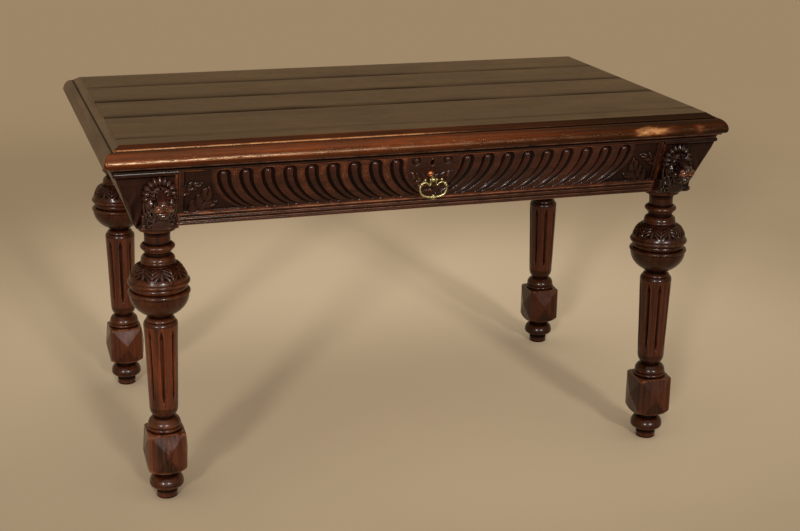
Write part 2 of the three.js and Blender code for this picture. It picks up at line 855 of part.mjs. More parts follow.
// Closed surface through rings of equal point counts, with flat ends
function lofted(positions, count, rings) {
  const index = [];
  for (let ring = 0; ring < rings - 1; ring++) {
    for (let i = 0; i < count; i++) {
      const a = ring * count + i;
      const b = ring * count + (i + 1) % count;
      index.push(a, b, b + count);
      index.push(a, b + count, a + count);
    }
  }
  const flat = (start) => Array.from({ length: count }, (_, i) => {
    const at = (start + i) * 3;
    return new THREE.Vector2(positions[at], positions[at + 1]);
  });
  const last = (rings - 1) * count;
  for (const [a, b, c] of THREE.ShapeUtils.triangulateShape(flat(0), [])) index.push(c, b, a);
  for (const [a, b, c] of THREE.ShapeUtils.triangulateShape(flat(last), [])) {
    index.push(last + a, last + b, last + c);
  }
  const geometry = new THREE.BufferGeometry();
  geometry.setAttribute('position', new THREE.Float32BufferAttribute(positions, 3));
  geometry.setIndex(index);
  return geometry;
}

// Square block with lopped corners and a diamond point on each face
function legBlock() {
  const half = leg.blockSide / 2;
  const corner = half * Math.SQRT2 + bury;
  const cube = box([-half, -half, 0], [half, half, leg.blockHeight]);
  const lop = new Turning();
  lop.step(leg.blockFootRadius).quarter(leg.blockFootRadius, corner, leg.blockFootLop, true);
  lop.rise(corner, leg.blockHeight - leg.blockFootLop - leg.blockHeadLop);
  lop.quarter(corner, leg.blockHeadRadius, leg.blockHeadLop, false);
  const points = [0, 1, 2, 3].map((quarter) => {
    const height = leg.pyramidRise + bury;
    const pyramid = new THREE.ConeGeometry(leg.pyramidSide / Math.SQRT2, height, 4);
    pyramid.rotateY(Math.PI / 4).translate(0, half - bury + height / 2, 0);
    pyramid.rotateZ(quarter * Math.PI / 2).translate(0, 0, leg.blockHeight / 2);
    return solid(pyramid);
  });
  return join([cube.intersect(turned(lop.close(), turnedSides)), ...points]).translate(0, 0, blockFoot);
}

function legs(group) {
  const shape = join([turned(legTurning(), turnedSides), flutedShaft(), legBlock()]);
  for (const [name, sideX, sideY] of corners) {
    const mesh = piece(`leg_${name}`, shape, materials.leg);
    mesh.position.set(sideX * legX, sideY * legY, 0);
    group.add(mesh);
  }
}

// Lion head: lumps joined on a block, cut off behind along the canted face
function lionHead() {
  const centre = friezeBottom + frieze.height * lion.centreShare;
  const top = frieze.height * lion.topShare;
  const at = (side, up, proud) => [side, -friezeFootY - proud, centre + up];
  const round = (part, side = 0) => lump(
    at(side, part.up, part.proud), part.radii, lion.lumpSides, lion.lumpRings);
  const lumps = [round(lion.skull), round(lion.muzzle), round(lion.nose), round(lion.jaw)];
  for (const part of [lion.brow, lion.cheek, lion.ear]) {
    lumps.push(round(part, -part.side), round(part, part.side));
  }
  for (let i = 0; i < lion.maneLocks; i++) {
    const share = i / (lion.maneLocks - 1) - 1 / 2;
    const angle = THREE.MathUtils.degToRad(lion.maneSpan * share);
    const place = at(
      lion.maneRadius * Math.sin(angle), lion.maneRadius * Math.cos(angle), lion.maneProud);
    lumps.push(lump(place, lion.maneRadii, lion.lockSides, lion.lockRings, angle));
  }
  const bust = barAlongX(placed([
    [-overrun, friezeBottom + lion.baseRise],
    [lion.baseProud, friezeBottom + lion.baseRise],
    [lion.chestProud, friezeBottom + lion.chestRise],
    [lion.chestProud, centre],
    [cantAt(top), friezeBottom + top],
  ], friezeFootY, -1), -lion.halfBase, lion.halfBase);
  return join([bust, ...lumps]).subtract(behindFace());
}

// Everything behind a line just in front of the frieze's face and its band
function behindFace() {
  const clear = gap / Math.cos(cant);
  const low = -overrun;
  const band = frieze.height - frieze.bandHeight - gap;
  return barAlongX(placed([
    [-friezeFootY, friezeBottom + low],
    [cantAt(low) + clear, friezeBottom + low],
    [cantAt(band) + clear, friezeBottom + band],
    [frieze.reach + gap, friezeBottom + band],
    [frieze.reach + gap, deskHeight],
    [-friezeFootY, deskHeight],
  ], friezeFootY, -1), -lion.halfBase - overrun, lion.halfBase + overrun);
}

// Each head stays off the drawer's path, so it's cut at the inner edge of its block.
function lionHeads(group) {
  const inner = cornerReach - lion.innerRoom;
  const whole = lionHead();
  for (const [name, side] of [['left', -1], ['right', 1]]) {
    const span = side > 0 ? [-inner - overrun, -inner] : [inner, inner + overrun];
    const path = box([span[0], -deskDepth, friezeBottom - overrun], [span[1], 0, deskHeight]);
    const mesh = piece(`lion_head_${name}`, whole.subtract(path), materials.carved);
    mesh.position.x = side * legX;
    group.add(mesh);
  }
}

// Drawer front, with a sunk field of gadroons, keyhole, and places for the lock and the pull
const frontLow = bottomRail.height + drawer.frontClearance;
const frontHigh = frieze.height - drawer.frontClearance;
const frontHalf = openingHalf - drawer.sideClearance;
const boardDepth = frieze.thickness * Math.cos(cant);
// The front's top edge is level, so its inner corner lies lower on the slope than its outer one.
const innerTopSlope = (frontHigh - boardDepth * Math.sin(cant)) / Math.cos(cant);
const pullSlope = innerTopSlope - lock.height - pull.lockDrop;
const keyholeSlope = slopeHeight(frontHigh) - lock.keyholeDrop;

function frontBoard() {
  const outline = [
    [cantAt(frontLow) - frieze.thickness, friezeBottom + frontLow],
    [cantAt(frontLow), friezeBottom + frontLow],
    [cantAt(frontHigh), friezeBottom + frontHigh],
    [cantAt(frontHigh) - frieze.thickness, friezeBottom + frontHigh],
  ];
  return barAlongX(placed(outline, friezeFootY, -1), -frontHalf, frontHalf);
}

function gadroon(side, i) {
  const pitch = frontHalf * carving.pitchShare;
  const sweep = pitch * carving.sweepPitches;
  const head = side * (frontHalf * carving.firstShare + i * pitch);
  const top = slopeHeight(frontHigh) - carving.headDrop;
  const low = slopeHeight(frontLow) + carving.tailRise;
  const rings = curveSteps + 1;
  const positions = [];
  for (let ring = 0; ring < rings; ring++) {
    const share = ring / (rings - 1);
    const x = head - side * sweep * share * share;
    const s = THREE.MathUtils.lerp(top, low, share);
    const radius = THREE.MathUtils.lerp(carving.headRadius, carving.tailRadius, share);
    for (let k = 0; k < carving.sides; k++) {
      const angle = k / carving.sides * 2 * Math.PI;
      const n = radius * (Math.sin(angle) - carving.sunkShare) - carving.depth;
      positions.push(x + radius * Math.cos(angle), n, s);
    }
  }
  const upright = new THREE.Matrix4().makeBasis(
    new THREE.Vector3(1, 0, 0), new THREE.Vector3(0, 0, 1), new THREE.Vector3(0, 1, 0));
  const tongue = lofted(positions, carving.sides, rings).applyMatrix4(upright).applyMatrix4(frontSlope);
  const knob = new THREE.SphereGeometry(carving.headRadius, carving.sides, carving.sides / 2);
  knob.translate(head, top, -carving.headRadius * carving.sunkShare - carving.depth);
  return solid(tongue).add(solid(knob.applyMatrix4(frontSlope)));
}

function drawerFront() {
  const halfField = frontHalf - carving.marginX;
  const fieldLow = slopeHeight(frontLow) + carving.marginBottom;
  const fieldHigh = slopeHeight(frontHigh) - carving.marginTop;
  let board = frontBoard().subtract(slopeBox(
    [-halfField, fieldLow, -carving.depth], [halfField, fieldHigh, overrun]));
  const inField = slopeBox([-halfField, fieldLow, -boardDepth + bury], [halfField, fieldHigh, 0]);
  const tongues = [];
  for (const side of [-1, 1]) {
    for (let i = 0; i < carving.count; i++) tongues.push(gadroon(side, i));
  }
  board = board.add(join(tongues).intersect(inField));
  const cutters = [lockMortise(), keyhole(), pullBore(), bottomGroove()];
  return cutters.reduce((rest, cutter) => rest.subtract(cutter), board);
}

function lockBox(clearance) {
  const half = lock.width / 2 + clearance;
  return [
    [-half, innerTopSlope - lock.height - clearance, -boardDepth],
    [half, innerTopSlope, lock.thickness + clearance - boardDepth],
  ];
}

function lockMortise() {
  const [low, high] = lockBox(gap);
  return slopeBox([low[0], low[1], low[2] - overrun], [high[0], high[1] + overrun, high[2]]);
}

// Bolt: a flat bar in the case; the clearance and the reach make its slots
function boltSolid(clearance, reach) {
  const top = innerTopSlope - gap;
  const half = lock.boltWidth / 2 + clearance;
  const back = lock.boltBack - boardDepth;
  return slopeBox(
    [-half, top - lock.boltHeight - clearance, back - clearance],
    [half, top + (reach ? reach + clearance : 0), back + lock.boltThickness + clearance]);
}

function lockCase() {
  const [low, high] = lockBox(0);
  const body = slopeBox([low[0], low[1], low[2] + gap], [high[0], high[1] - gap, high[2]]);
  return body.subtract(boltSolid(lock.boltClearance, overrun)).subtract(keyhole());
}

function keyhole() {
  const half = lock.keyholeWidth / 2;
  return slopeBox(
    [-half, keyholeSlope - lock.keyholeHeight, -lock.boltBack - boardDepth / 2 - half],
    [half, keyholeSlope, overrun]);
}

function postCylinder(radius, from, to) {
  const made = new THREE.CylinderGeometry(radius, radius, to - from, pull.sides);
  made.rotateX(Math.PI / 2).translate(0, pullSlope, (from + to) / 2);
  return solid(made.applyMatrix4(frontSlope));
}

function pullBore() {
  return postCylinder(pull.postRadius + gap, -boardDepth - overrun, overrun);
}

function bottomGroove() {
  const depth = drawer.grooveDepth + gap;
  const inner = friezeFootY + cantAt(frontLow) - frieze.thickness;
  const half = boxInnerHalf + drawer.grooveDepth + gap;
  return box([-half, -inner - depth - cantAt(bottomHigh - boxFloor), bottomLow - gap],
    [half, overrun - inner, bottomHigh + gap]);
}

// Drawer side, cut to the slope of the front, with a groove for the bottom
function drawerSide(side) {
  const inner = friezeFootY - frieze.thickness - gap;
  const outline = [
    [-inner - cantAt(boxFloor - friezeBottom), boxFloor],
    [-inner - cantAt(boxTop - friezeBottom), boxTop],
    [boxBack, boxTop],
    [boxBack, boxFloor],
  ];
  const span = side > 0 ? [boxInnerHalf, boxHalf] : [-boxHalf, -boxInnerHalf];
  const groove = box([-boxInnerHalf - drawer.grooveDepth - gap, -deskDepth, bottomLow - gap],
    [boxInnerHalf + drawer.grooveDepth + gap, deskDepth, bottomHigh + gap]);
  return barAlongX(outline, ...span).subtract(groove);
}

function drawerParts(group) {
  group.add(piece('drawer_front', drawerFront(), materials.frieze));
  group.add(piece('drawer_side_left', drawerSide(-1), materials.inner));
  group.add(piece('drawer_side_right', drawerSide(1), materials.inner));
  const half = boxInnerHalf - gap;
  const back = box([-half, boxBack - drawer.backThickness, bottomHigh + gap], [half, boxBack, boxTop]);
  group.add(piece('drawer_back', back, materials.inner));
  const frontEdge = friezeFootY - frieze.thickness + cantAt(frontLow) + drawer.grooveDepth;
  const wide = boxInnerHalf + drawer.grooveDepth;
  const floor = box([-wide, -frontEdge, bottomLow], [wide, boxBack, bottomHigh]);
  group.add(piece('drawer_bottom', floor, materials.inner));
}

function lockParts(group) {
  group.add(piece('lock_case', lockCase(), materials.iron));
  group.add(piece('lock_bolt', boltSolid(0, 0), materials.brass));
}

// Runners under the drawer, guides beside it, kickers over it and stops behind it
function slideways(group) {
  const backInner = friezeFootY - frieze.thickness - gap;
  const runnerLow = drawerFloor - slideway.runnerThickness;
  const runnerBack = backInner + cantAt(runnerLow - friezeBottom);
  const runnerFront = friezeFootY - bottomRail.depth - gap;
  const outer = openingHalf - gap;
  const guideInner = boxHalf + drawer.runGap;
  const guideEnd = friezeFootY - slideway.guideInset;
  const kickerFront = friezeFootY + frieze.reach - frieze.neckInset - topRail.depth - gap;
  const kickerBack = friezeFootY + frieze.reach - frieze.thickness - gap;
  for (const [name, side] of [['left', -1], ['right', 1]]) {
    const across = (a, b) => (side > 0 ? [a, b] : [-b, -a]);
    const strip = (part, [near, far], [front, back], [low, high]) => {
      const shape = box([near, front, low], [far, back, high]);
      group.add(piece(`${part}_${name}`, shape, materials.inner));
    };
    strip('drawer_runner', across(outer - slideway.runnerWidth, outer),
      [-runnerFront, runnerBack], [runnerLow, drawerFloor]);
    strip('drawer_guide', across(guideInner, outer),
      [-guideEnd, guideEnd], [boxFloor, boxFloor + slideway.guideHeight]);
    strip('drawer_kicker', across(outer - slideway.kickerWidth, outer),
      [-kickerFront, kickerBack], [friezeShoulder, friezeTop]);
    strip('drawer_stop', across(boxInnerHalf, boxHalf),
      [boxBack + gap, boxBack + gap + slideway.stopLength], [boxFloor, boxFloor + slideway.stopHeight]);
  }
}

// Brass pull
const barLine = onSlope(0, pullSlope, pull.barProud);

function pullPost() {
  const bar = [];
  const reach = pull.barHalfLength;
  const rod = new Turning(-reach);
  rod.step(pull.barRadius).rise(pull.barRadius, reach - pull.bossHalfWidth);
  rod.bead(pull.barRadius, pull.bossRadius, 2 * pull.bossHalfWidth);
  rod.rise(pull.barRadius, reach - pull.bossHalfWidth);
  bar.push(turned(rod.close(), pull.sides).rotate(0, rightAngle, 0));
  for (const end of [-reach, reach]) {
    bar.push(lump([end, 0, 0], [1, 1, 1].map(() => pull.endBallRadius), pull.sides, pull.sides / 2));
  }
  const placedBar = join(bar).translate(...barLine.toArray());
  const post = postCylinder(pull.postRadius, -boardDepth - pull.nutThickness - pull.endLength, pull.barProud);
  const plateFoot = gap - carving.depth;
  const plate = postCylinder(pull.postPlateRadius, plateFoot, plateFoot + pull.postPlateThickness);
  return join([placedBar, post, plate]);
}

function pullNut() {
  const half = pull.nutWidth / 2;
  const from = -boardDepth - gap - pull.nutThickness;
  const body = slopeBox([-half, pullSlope - half, from], [half, pullSlope + half, -boardDepth - gap]);
  return body.subtract(postCylinder(pull.postRadius + gap, from - overrun, overrun));
}

function bailSolid() {
  const parts = [];
  for (const side of [-1, 1]) {
    const points = bailLineShares.map(([across, down]) => new THREE.Vector3(
      side * across * bail.halfWidth, 0, -down * bail.height));
    const curve = new THREE.CatmullRomCurve3(points);
    const ring = new THREE.Shape(Array.from({ length: pull.sides - 2 }, (_, i) => {
      const angle = i / (pull.sides - 2) * 2 * Math.PI;
      return new THREE.Vector2(bail.tubeRadius * Math.cos(angle), bail.tubeRadius * Math.sin(angle));
    }));
    const steps = points.length + curveSteps;
    parts.push(solid(new THREE.ExtrudeGeometry(ring, { steps, extrudePath: curve })));
    const knop = points[bailKnopShare];
    parts.push(lump(knop.toArray(), [1, 1, 1].map(() => bail.knopRadius), pull.sides, pull.sides / 2));
    const eye = turned([[0, -bail.eyeWidth / 2], [bail.eyeRadius, -bail.eyeWidth / 2],
      [bail.eyeRadius, bail.eyeWidth / 2], [0, bail.eyeWidth / 2]], pull.sides);
    parts.push(eye.rotate(0, rightAngle, 0).translate(side * bail.eyeCentre, 0, 0));
  }
  parts.push(lump([0, 0, -bail.height], [1, 1, 1].map(() => bail.dropRadius), pull.sides, pull.sides / 2));
  const bore = pull.barRadius + bail.clearance;
  const hole = turned([[0, -bail.halfWidth], [bore, -bail.halfWidth], [bore, bail.halfWidth],
    [0, bail.halfWidth]], pull.sides);
  return join(parts).subtract(hole.rotate(0, rightAngle, 0)).translate(...barLine.toArray());
}

function pullParts(group) {
  group.add(piece('pull_post', pullPost(), materials.brass));
  group.add(piece('pull_nut', pullNut(), materials.brass));
  group.add(piece('drop_bail', bailSolid(), materials.brass));
}

const desk = new THREE.Group();
const makers = [edgeMouldings, bedMoulds, topBoards, cleats, screws, glueBlocks, friezes, drawerRails,
  cornerBlocks, legs, lionHeads, drawerParts, lockParts, slideways, pullParts];
for (const make of makers) make(desk);
desk.position.y = boxShiftY;

export default desk;
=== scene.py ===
import math

import bmesh
import bpy
import numpy as np
from mathutils import Matrix, Vector


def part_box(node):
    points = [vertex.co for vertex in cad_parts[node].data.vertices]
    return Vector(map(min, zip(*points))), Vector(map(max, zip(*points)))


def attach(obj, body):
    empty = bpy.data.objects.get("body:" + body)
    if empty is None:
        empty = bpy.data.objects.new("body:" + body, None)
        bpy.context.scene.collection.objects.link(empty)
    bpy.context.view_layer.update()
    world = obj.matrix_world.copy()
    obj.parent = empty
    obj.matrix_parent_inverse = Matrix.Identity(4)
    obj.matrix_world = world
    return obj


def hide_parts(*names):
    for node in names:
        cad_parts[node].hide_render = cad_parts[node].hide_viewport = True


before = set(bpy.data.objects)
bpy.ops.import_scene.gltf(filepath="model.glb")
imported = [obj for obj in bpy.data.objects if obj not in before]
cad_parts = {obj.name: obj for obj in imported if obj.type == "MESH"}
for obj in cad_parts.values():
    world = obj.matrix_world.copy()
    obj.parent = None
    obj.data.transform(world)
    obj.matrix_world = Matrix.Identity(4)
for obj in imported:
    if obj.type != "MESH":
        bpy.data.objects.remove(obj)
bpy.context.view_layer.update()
MM = 0.001
ALONG_X, ALONG_Y, ALONG_Z = 0, 1, 2


# Measures read from the frame
def node_box(name):
    low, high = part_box(name)
    return np.array(low) / MM, np.array(high) / MM


EDGE_LOW, EDGE_HIGH = node_box("edge_moulding_front")
BLOCK_LOW, BLOCK_HIGH = node_box("corner_block_front_right")
LEG_LOW, LEG_HIGH = node_box("leg_front_right")
DRAWER_LOW, DRAWER_HIGH = node_box("drawer_front")
CENTRE_Y = (EDGE_LOW[1] + node_box("edge_moulding_back")[1][1]) / 2
HALF_LENGTH = EDGE_HIGH[0]
HALF_DEPTH = CENTRE_Y - EDGE_LOW[1]
TOP = EDGE_HIGH[2]
UNDERSIDE = EDGE_LOW[2]
FRIEZE_BOTTOM = BLOCK_LOW[2]
FRIEZE_TOP = BLOCK_HIGH[2]
BLOCK_INNER_X = BLOCK_LOW[0]
BLOCK_INNER_Y = CENTRE_Y - BLOCK_HIGH[1]
LEG_X = (LEG_LOW[0] + LEG_HIGH[0]) / 2
LEG_Y = CENTRE_Y - (LEG_LOW[1] + LEG_HIGH[1]) / 2
RAIL_HEIGHT = node_box("front_bottom_rail")[1][2] - FRIEZE_BOTTOM
CORNERS = [("front_left", -1, -1), ("front_right", 1, -1), ("back_left", -1, 1), ("back_right", 1, 1)]
# Sides of the top: name, quarter turns, corners where it starts and ends
SIDES = [("front", 0, "front_left", "front_right"), ("right", 1, "front_right", "back_right"),
         ("back", 2, "back_right", "back_left"), ("left", 3, "back_left", "front_left")]

# Canted frieze
GAP = 0.3
CANT_REACH, CANT_HEIGHT = 45, 120
CANT = math.atan2(CANT_REACH, CANT_HEIGHT)
FOOT_X = BLOCK_HIGH[0] - CANT_REACH
FOOT_Y = CENTRE_Y - BLOCK_LOW[1] - CANT_REACH
BOARD_THICKNESS = 23.4
BAND_HEIGHT, BAND_PROUD = 6.5, 2.4
BAND_FOOT = CANT_HEIGHT - BAND_HEIGHT - BAND_PROUD
NECK_INSET = 5


def slope_height(rise):
    return rise / math.cos(CANT)


def cant_at(rise):
    return CANT_REACH * rise / CANT_HEIGHT


def on_slope(x, s, n):
    """Points of the canted front: x along the desk, s up the slope, n outwards."""
    x, s, n = np.broadcast_arrays(x, s, n)
    y = -FOOT_Y - s * math.sin(CANT) - n * math.cos(CANT)
    z = FRIEZE_BOTTOM + s * math.cos(CANT) - n * math.sin(CANT)
    return np.stack([x, y, z], -1)


# Curves of one value
def lerp(a, b, share):
    return a + (b - a) * share


def ramp(value, start, end):
    """Share of the way from a start to an end, kept between 0 and 1."""
    return np.clip((value - start) / (end - start), 0, 1)


def hump(value, width):
    """Smooth hump of height 1 at zero."""
    return np.exp(-(value / width) ** 2)


def arch(share):
    """Round arch of height 1 at zero, down to zero at -1 and 1."""
    return np.sqrt(np.clip(1 - share ** 2, 0, 1))


WAVES, WAVE_LENGTHS = 5, (0.5, 1.5)
LEAST = 0.01
TINY = 1e-6


def wobble(points, length, amount, seed):
    """Gentle unevenness of hand work: a smooth value for each point."""
    rng = np.random.default_rng(seed)
    total = np.zeros(np.asarray(points).shape[:-1])
    for _ in range(WAVES):
        direction = rng.normal(size=3)
        direction /= np.linalg.norm(direction) * length * rng.uniform(*WAVE_LENGTHS)
        total += np.sin(2 * math.pi * (np.asarray(points) @ direction) + rng.uniform(0, 2 * math.pi))
    return total * amount / WAVES


# Meshes
def quads(rows, cols, wrap):
    row = np.arange(rows - 1)[:, None]
    col = np.arange(cols if wrap else cols - 1)[None, :]
    a = row * cols + col
    b = row * cols + (col + 1) % cols
    return np.stack([a, b, b + cols, a + cols], -1).reshape(-1, 4).tolist()


class Shape:
    """Points and faces of one piece, which may have several closed parts."""

    def __init__(self):
        self.points = np.zeros((0, 3))
        self.faces = []

    def add(self, points, faces):
        start = len(self.points)
        self.points = np.concatenate([self.points, np.reshape(points, (-1, 3))])
        self.faces += [[i + start for i in face] for face in faces]
        return self

    def loft(self, rings):
        """Closed part through rings of equal point counts, given as an array (rings, count, 3)."""
        rows, cols = np.shape(rings)[:2]
        last = (rows - 1) * cols
        caps = [list(range(cols))[::-1], list(range(last, last + cols))]
        return self.add(rings, quads(rows, cols, True) + caps)

    def slab(self, front, back_offset):
        """Closed part from a grid of front points and a shift to its plain back."""
        rows, cols = front.shape[:2]
        rim = list(range(cols))
        rim += [r * cols + cols - 1 for r in range(1, rows)]
        rim += [(rows - 1) * cols + c for c in range(cols - 2, -1, -1)]
        rim += [r * cols for r in range(rows - 2, 0, -1)]
        flat = front.reshape(-1, 3)
        start, around = len(flat), len(rim)
        sides = [[rim[i], start + i, start + (i + 1) % around, rim[(i + 1) % around]] for i in range(around)]
        back = [list(range(start, start + around))]
        points = np.concatenate([flat, flat[rim] + back_offset])
        return self.add(points, quads(rows, cols, False) + sides + back)


def in_scene(name, data):
    made = bpy.data.objects.new(name, data)
    bpy.context.scene.collection.objects.link(made)
    return made


def new_object(name, shape):
    """Mesh object of a shape, its faces turned outwards."""
    mesh = bpy.data.meshes.new(name)
    mesh.from_pydata(((shape.points + [0, CENTRE_Y, 0]) * MM).tolist(), [], shape.faces)
    work = bmesh.new()
    work.from_mesh(mesh)
    bmesh.ops.recalc_face_normals(work, faces=work.faces)
    work.to_mesh(mesh)
    work.free()
    return in_scene(name, mesh)


def read_values(items, name, width, kind=float):
    values = np.zeros(len(items) * width, kind)
    items.foreach_get(name, values)
    return values.reshape(-1, width)


def relief_of(mesh, passes, scale):
    """How far each point stands out of its smoothed surroundings, from -1 to 1."""
    points = read_values(mesh.vertices, "co", 3)
    normals = read_values(mesh.vertices, "normal", 3)
    a, b = read_values(mesh.edges, "vertices", 2, int).T
    count = len(points)
    number = np.bincount(a, minlength=count) + np.bincount(b, minlength=count)
    smooth = points.copy()
    for _ in range(passes):
        total = [np.bincount(a, each[b], count) + np.bincount(b, each[a], count) for each in smooth.T]
        smooth = np.stack(total, -1) / np.maximum(number, 1)[:, None]
    return np.clip(((points - smooth) * normals).sum(1) / (scale * MM), -1, 1)


def give_values(mesh, name, values):
    """Gives each point of a mesh a value that its material reads by name."""
    attribute = mesh.attributes.new(name, "FLOAT", "POINT")
    attribute.data.foreach_set("value", (np.zeros(len(mesh.vertices)) + np.ravel(values)).astype(np.float32))


def add_piece(name, shape, material, body, slot, replaces=(), relief=None, sharp=40, paint=0.0, shade=0.0):
    """Makes the object of a piece; relief is (passes, scale in mm) for worn crests and dark hollows of dirt
    and painted shade, paint is added to it, above zero for wear and painted highlights and below for dirt and
    painted shade, and shade darkens the colour: the wood's own darker tone, and painted shade where less
    light falls."""
    made = new_object(name, shape)
    mesh = made.data
    mesh.shade_smooth()
    mesh.set_sharp_from_angle(angle=math.radians(sharp))
    if relief:
        give_values(mesh, "relief", np.clip(relief_of(mesh, *relief) + np.ravel(paint), -1, 1))
        give_values(mesh, "shade", shade)
    mesh.materials.append(material)
    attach(made, body)
    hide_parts(*replaces)
    return made


# Relief of the kinds of pieces: passes, scale
PAINT_ONLY, COVE_RELIEF, FRIEZE_RELIEF, RAIL_RELIEF = (0, 1), (6, 0.6), (8, 0.7), (8, 0.4)
BLOCK_RELIEF, LEG_RELIEF, LION_RELIEF, FRONT_RELIEF = (5, 0.9), (12, 1.3), (12, 1.3), (14, 2.6)
CAST_RELIEF, ROSE_RELIEF = (5, 0.35), (3, 0.5)


# Materials, with display colours from 0 to 255
def linear(red, green, blue):
    """A display colour as the linear colour that a shader takes."""
    def channel(value):
        share = value / 255
        return share / 12.92 if share <= 0.04045 else ((share + 0.055) / 1.055) ** 2.4
    return (channel(red), channel(green), channel(blue), 1)


def is_socket(value):
    return isinstance(value, bpy.types.NodeSocket)


class Nodes:
    """Short form for building a node tree, with noises stretched along one axis."""

    SEED_STEPS = (1.37, 2.11, 0.73)

    def __init__(self, owner, shader="Principled BSDF", axis=ALONG_X, seed=0):
        owner.use_nodes = True
        self.owner = owner
        self.tree = owner.node_tree
        self.shader = self.tree.nodes[shader]
        self.axis = axis
        self.offset = [seed * step for step in self.SEED_STEPS]

    def node(self, kind, inputs=None, **settings):
        made = self.tree.nodes.new("ShaderNode" + kind)
        for key, value in settings.items():
            setattr(made, key, value)
        for key, value in (inputs or {}).items():
            if is_socket(value):
                self.tree.links.new(value, made.inputs[key])
            else:
                made.inputs[key].default_value = value
        return made

    def math(self, operation, *values, clamp=False):
        return self.node("Math", dict(enumerate(values)), operation=operation, use_clamp=clamp).outputs[0]

    def scaled(self, value, share):
        return self.math("MULTIPLY", value, share)

    def span(self, value, start, end, to_start=0.0, to_end=1.0, **settings):
        inputs = {"Value": value, "From Min": start, "From Max": end, "To Min": to_start, "To Max": to_end}
        return self.node("MapRange", inputs, clamp=True, **settings).outputs["Result"]

    def mix(self, factor, a, b, blend="MIX"):
        """Mix of two colours, each a socket or a display colour."""
        a, b = (colour if is_socket(colour) else linear(*colour) for colour in (a, b))
        return self.node("Mix", {0: factor, 6: a, 7: b}, data_type="RGBA", blend_type=blend).outputs[2]

    def dimmed(self, colour, share):
        grey = self.node("CombineColor", {0: share, 1: share, 2: share}).outputs[0]
        return self.mix(1.0, colour, grey, "MULTIPLY")

    def place(self):
        return self.node("TexCoord").outputs["Object"]

    def noise(self, along, across, detail=4.0, roughness=0.6, distortion=0.0):
        """Noise whose unit is as many metres long and wide as is asked."""
        scale = [1 / across] * 3
        scale[self.axis] = 1 / along
        stretched = self.node("Mapping", {"Vector": self.place(), "Location": self.offset, "Scale": scale})
        return self.node("TexNoise", {"Vector": stretched.outputs["Vector"], "Scale": 1.0, "Detail": detail,
                                      "Roughness": roughness, "Distortion": distortion}).outputs["Fac"]

    def value(self, name):
        return self.node("Attribute", attribute_name=name).outputs["Fac"]

    def bumped(self, height, strength, distance):
        made = self.node("Bump", {"Height": height, "Strength": strength, "Distance": distance})
        self.link(made.outputs["Normal"], "Normal")

    def set(self, **values):
        for key, value in values.items():
            self.shader.inputs[key.replace("_", " ")].default_value = value

    def link(self, socket, name):
        self.tree.links.new(socket, self.shader.inputs[name])


# Noises of the wood: length and width in metres, detail, roughness, distortion
FIBRES, BROAD, PORES = (0.05, 0.0016, 3.0, 0.7), (0.3, 0.11, 3.0, 0.55, 0.6), (0.022, 0.0011, 2.0, 0.5)
UNEVEN, PATCHES = (0.03, 0.02, 5.0, 0.7), (0.16, 0.08, 5.0, 0.65, 0.4)
STREAK_LENGTH, STREAK_FIGURE = 0.35, (6.0, 0.62, 0.35)
# Spans of its values: start and end, and what is given there where it isn't 0 and 1
TONE_SPAN, FIBRE_SPAN, PIT_SPAN = (0.36, 0.64), (0.35, 0.65, 0.82, 1.12), (0.60, 0.68)
CREST_SPAN, RUBBED_SPAN, STAIN_SPAN = (0.25, 0.85), (0.35, 0.6), (0.5, 0.72)
HOLLOW_SPAN, MOTTLED_SPAN = (-0.1, -0.6), (0.35, 0.65)
STAIN_SHARE, HOLLOW_ROUGH, HOLLOW_SHINE, DARK_SHINE = 0.55, 0.25, 0.05, 0.35
UNEVEN_ROUGH, FIBRES_ROUGH, COAT_ROUGH = 0.6, 0.4, 0.13
UNEVEN_HEIGHT, FIBRES_HEIGHT, GRAIN_DEPTH = 0.8, 0.5, 0.0006


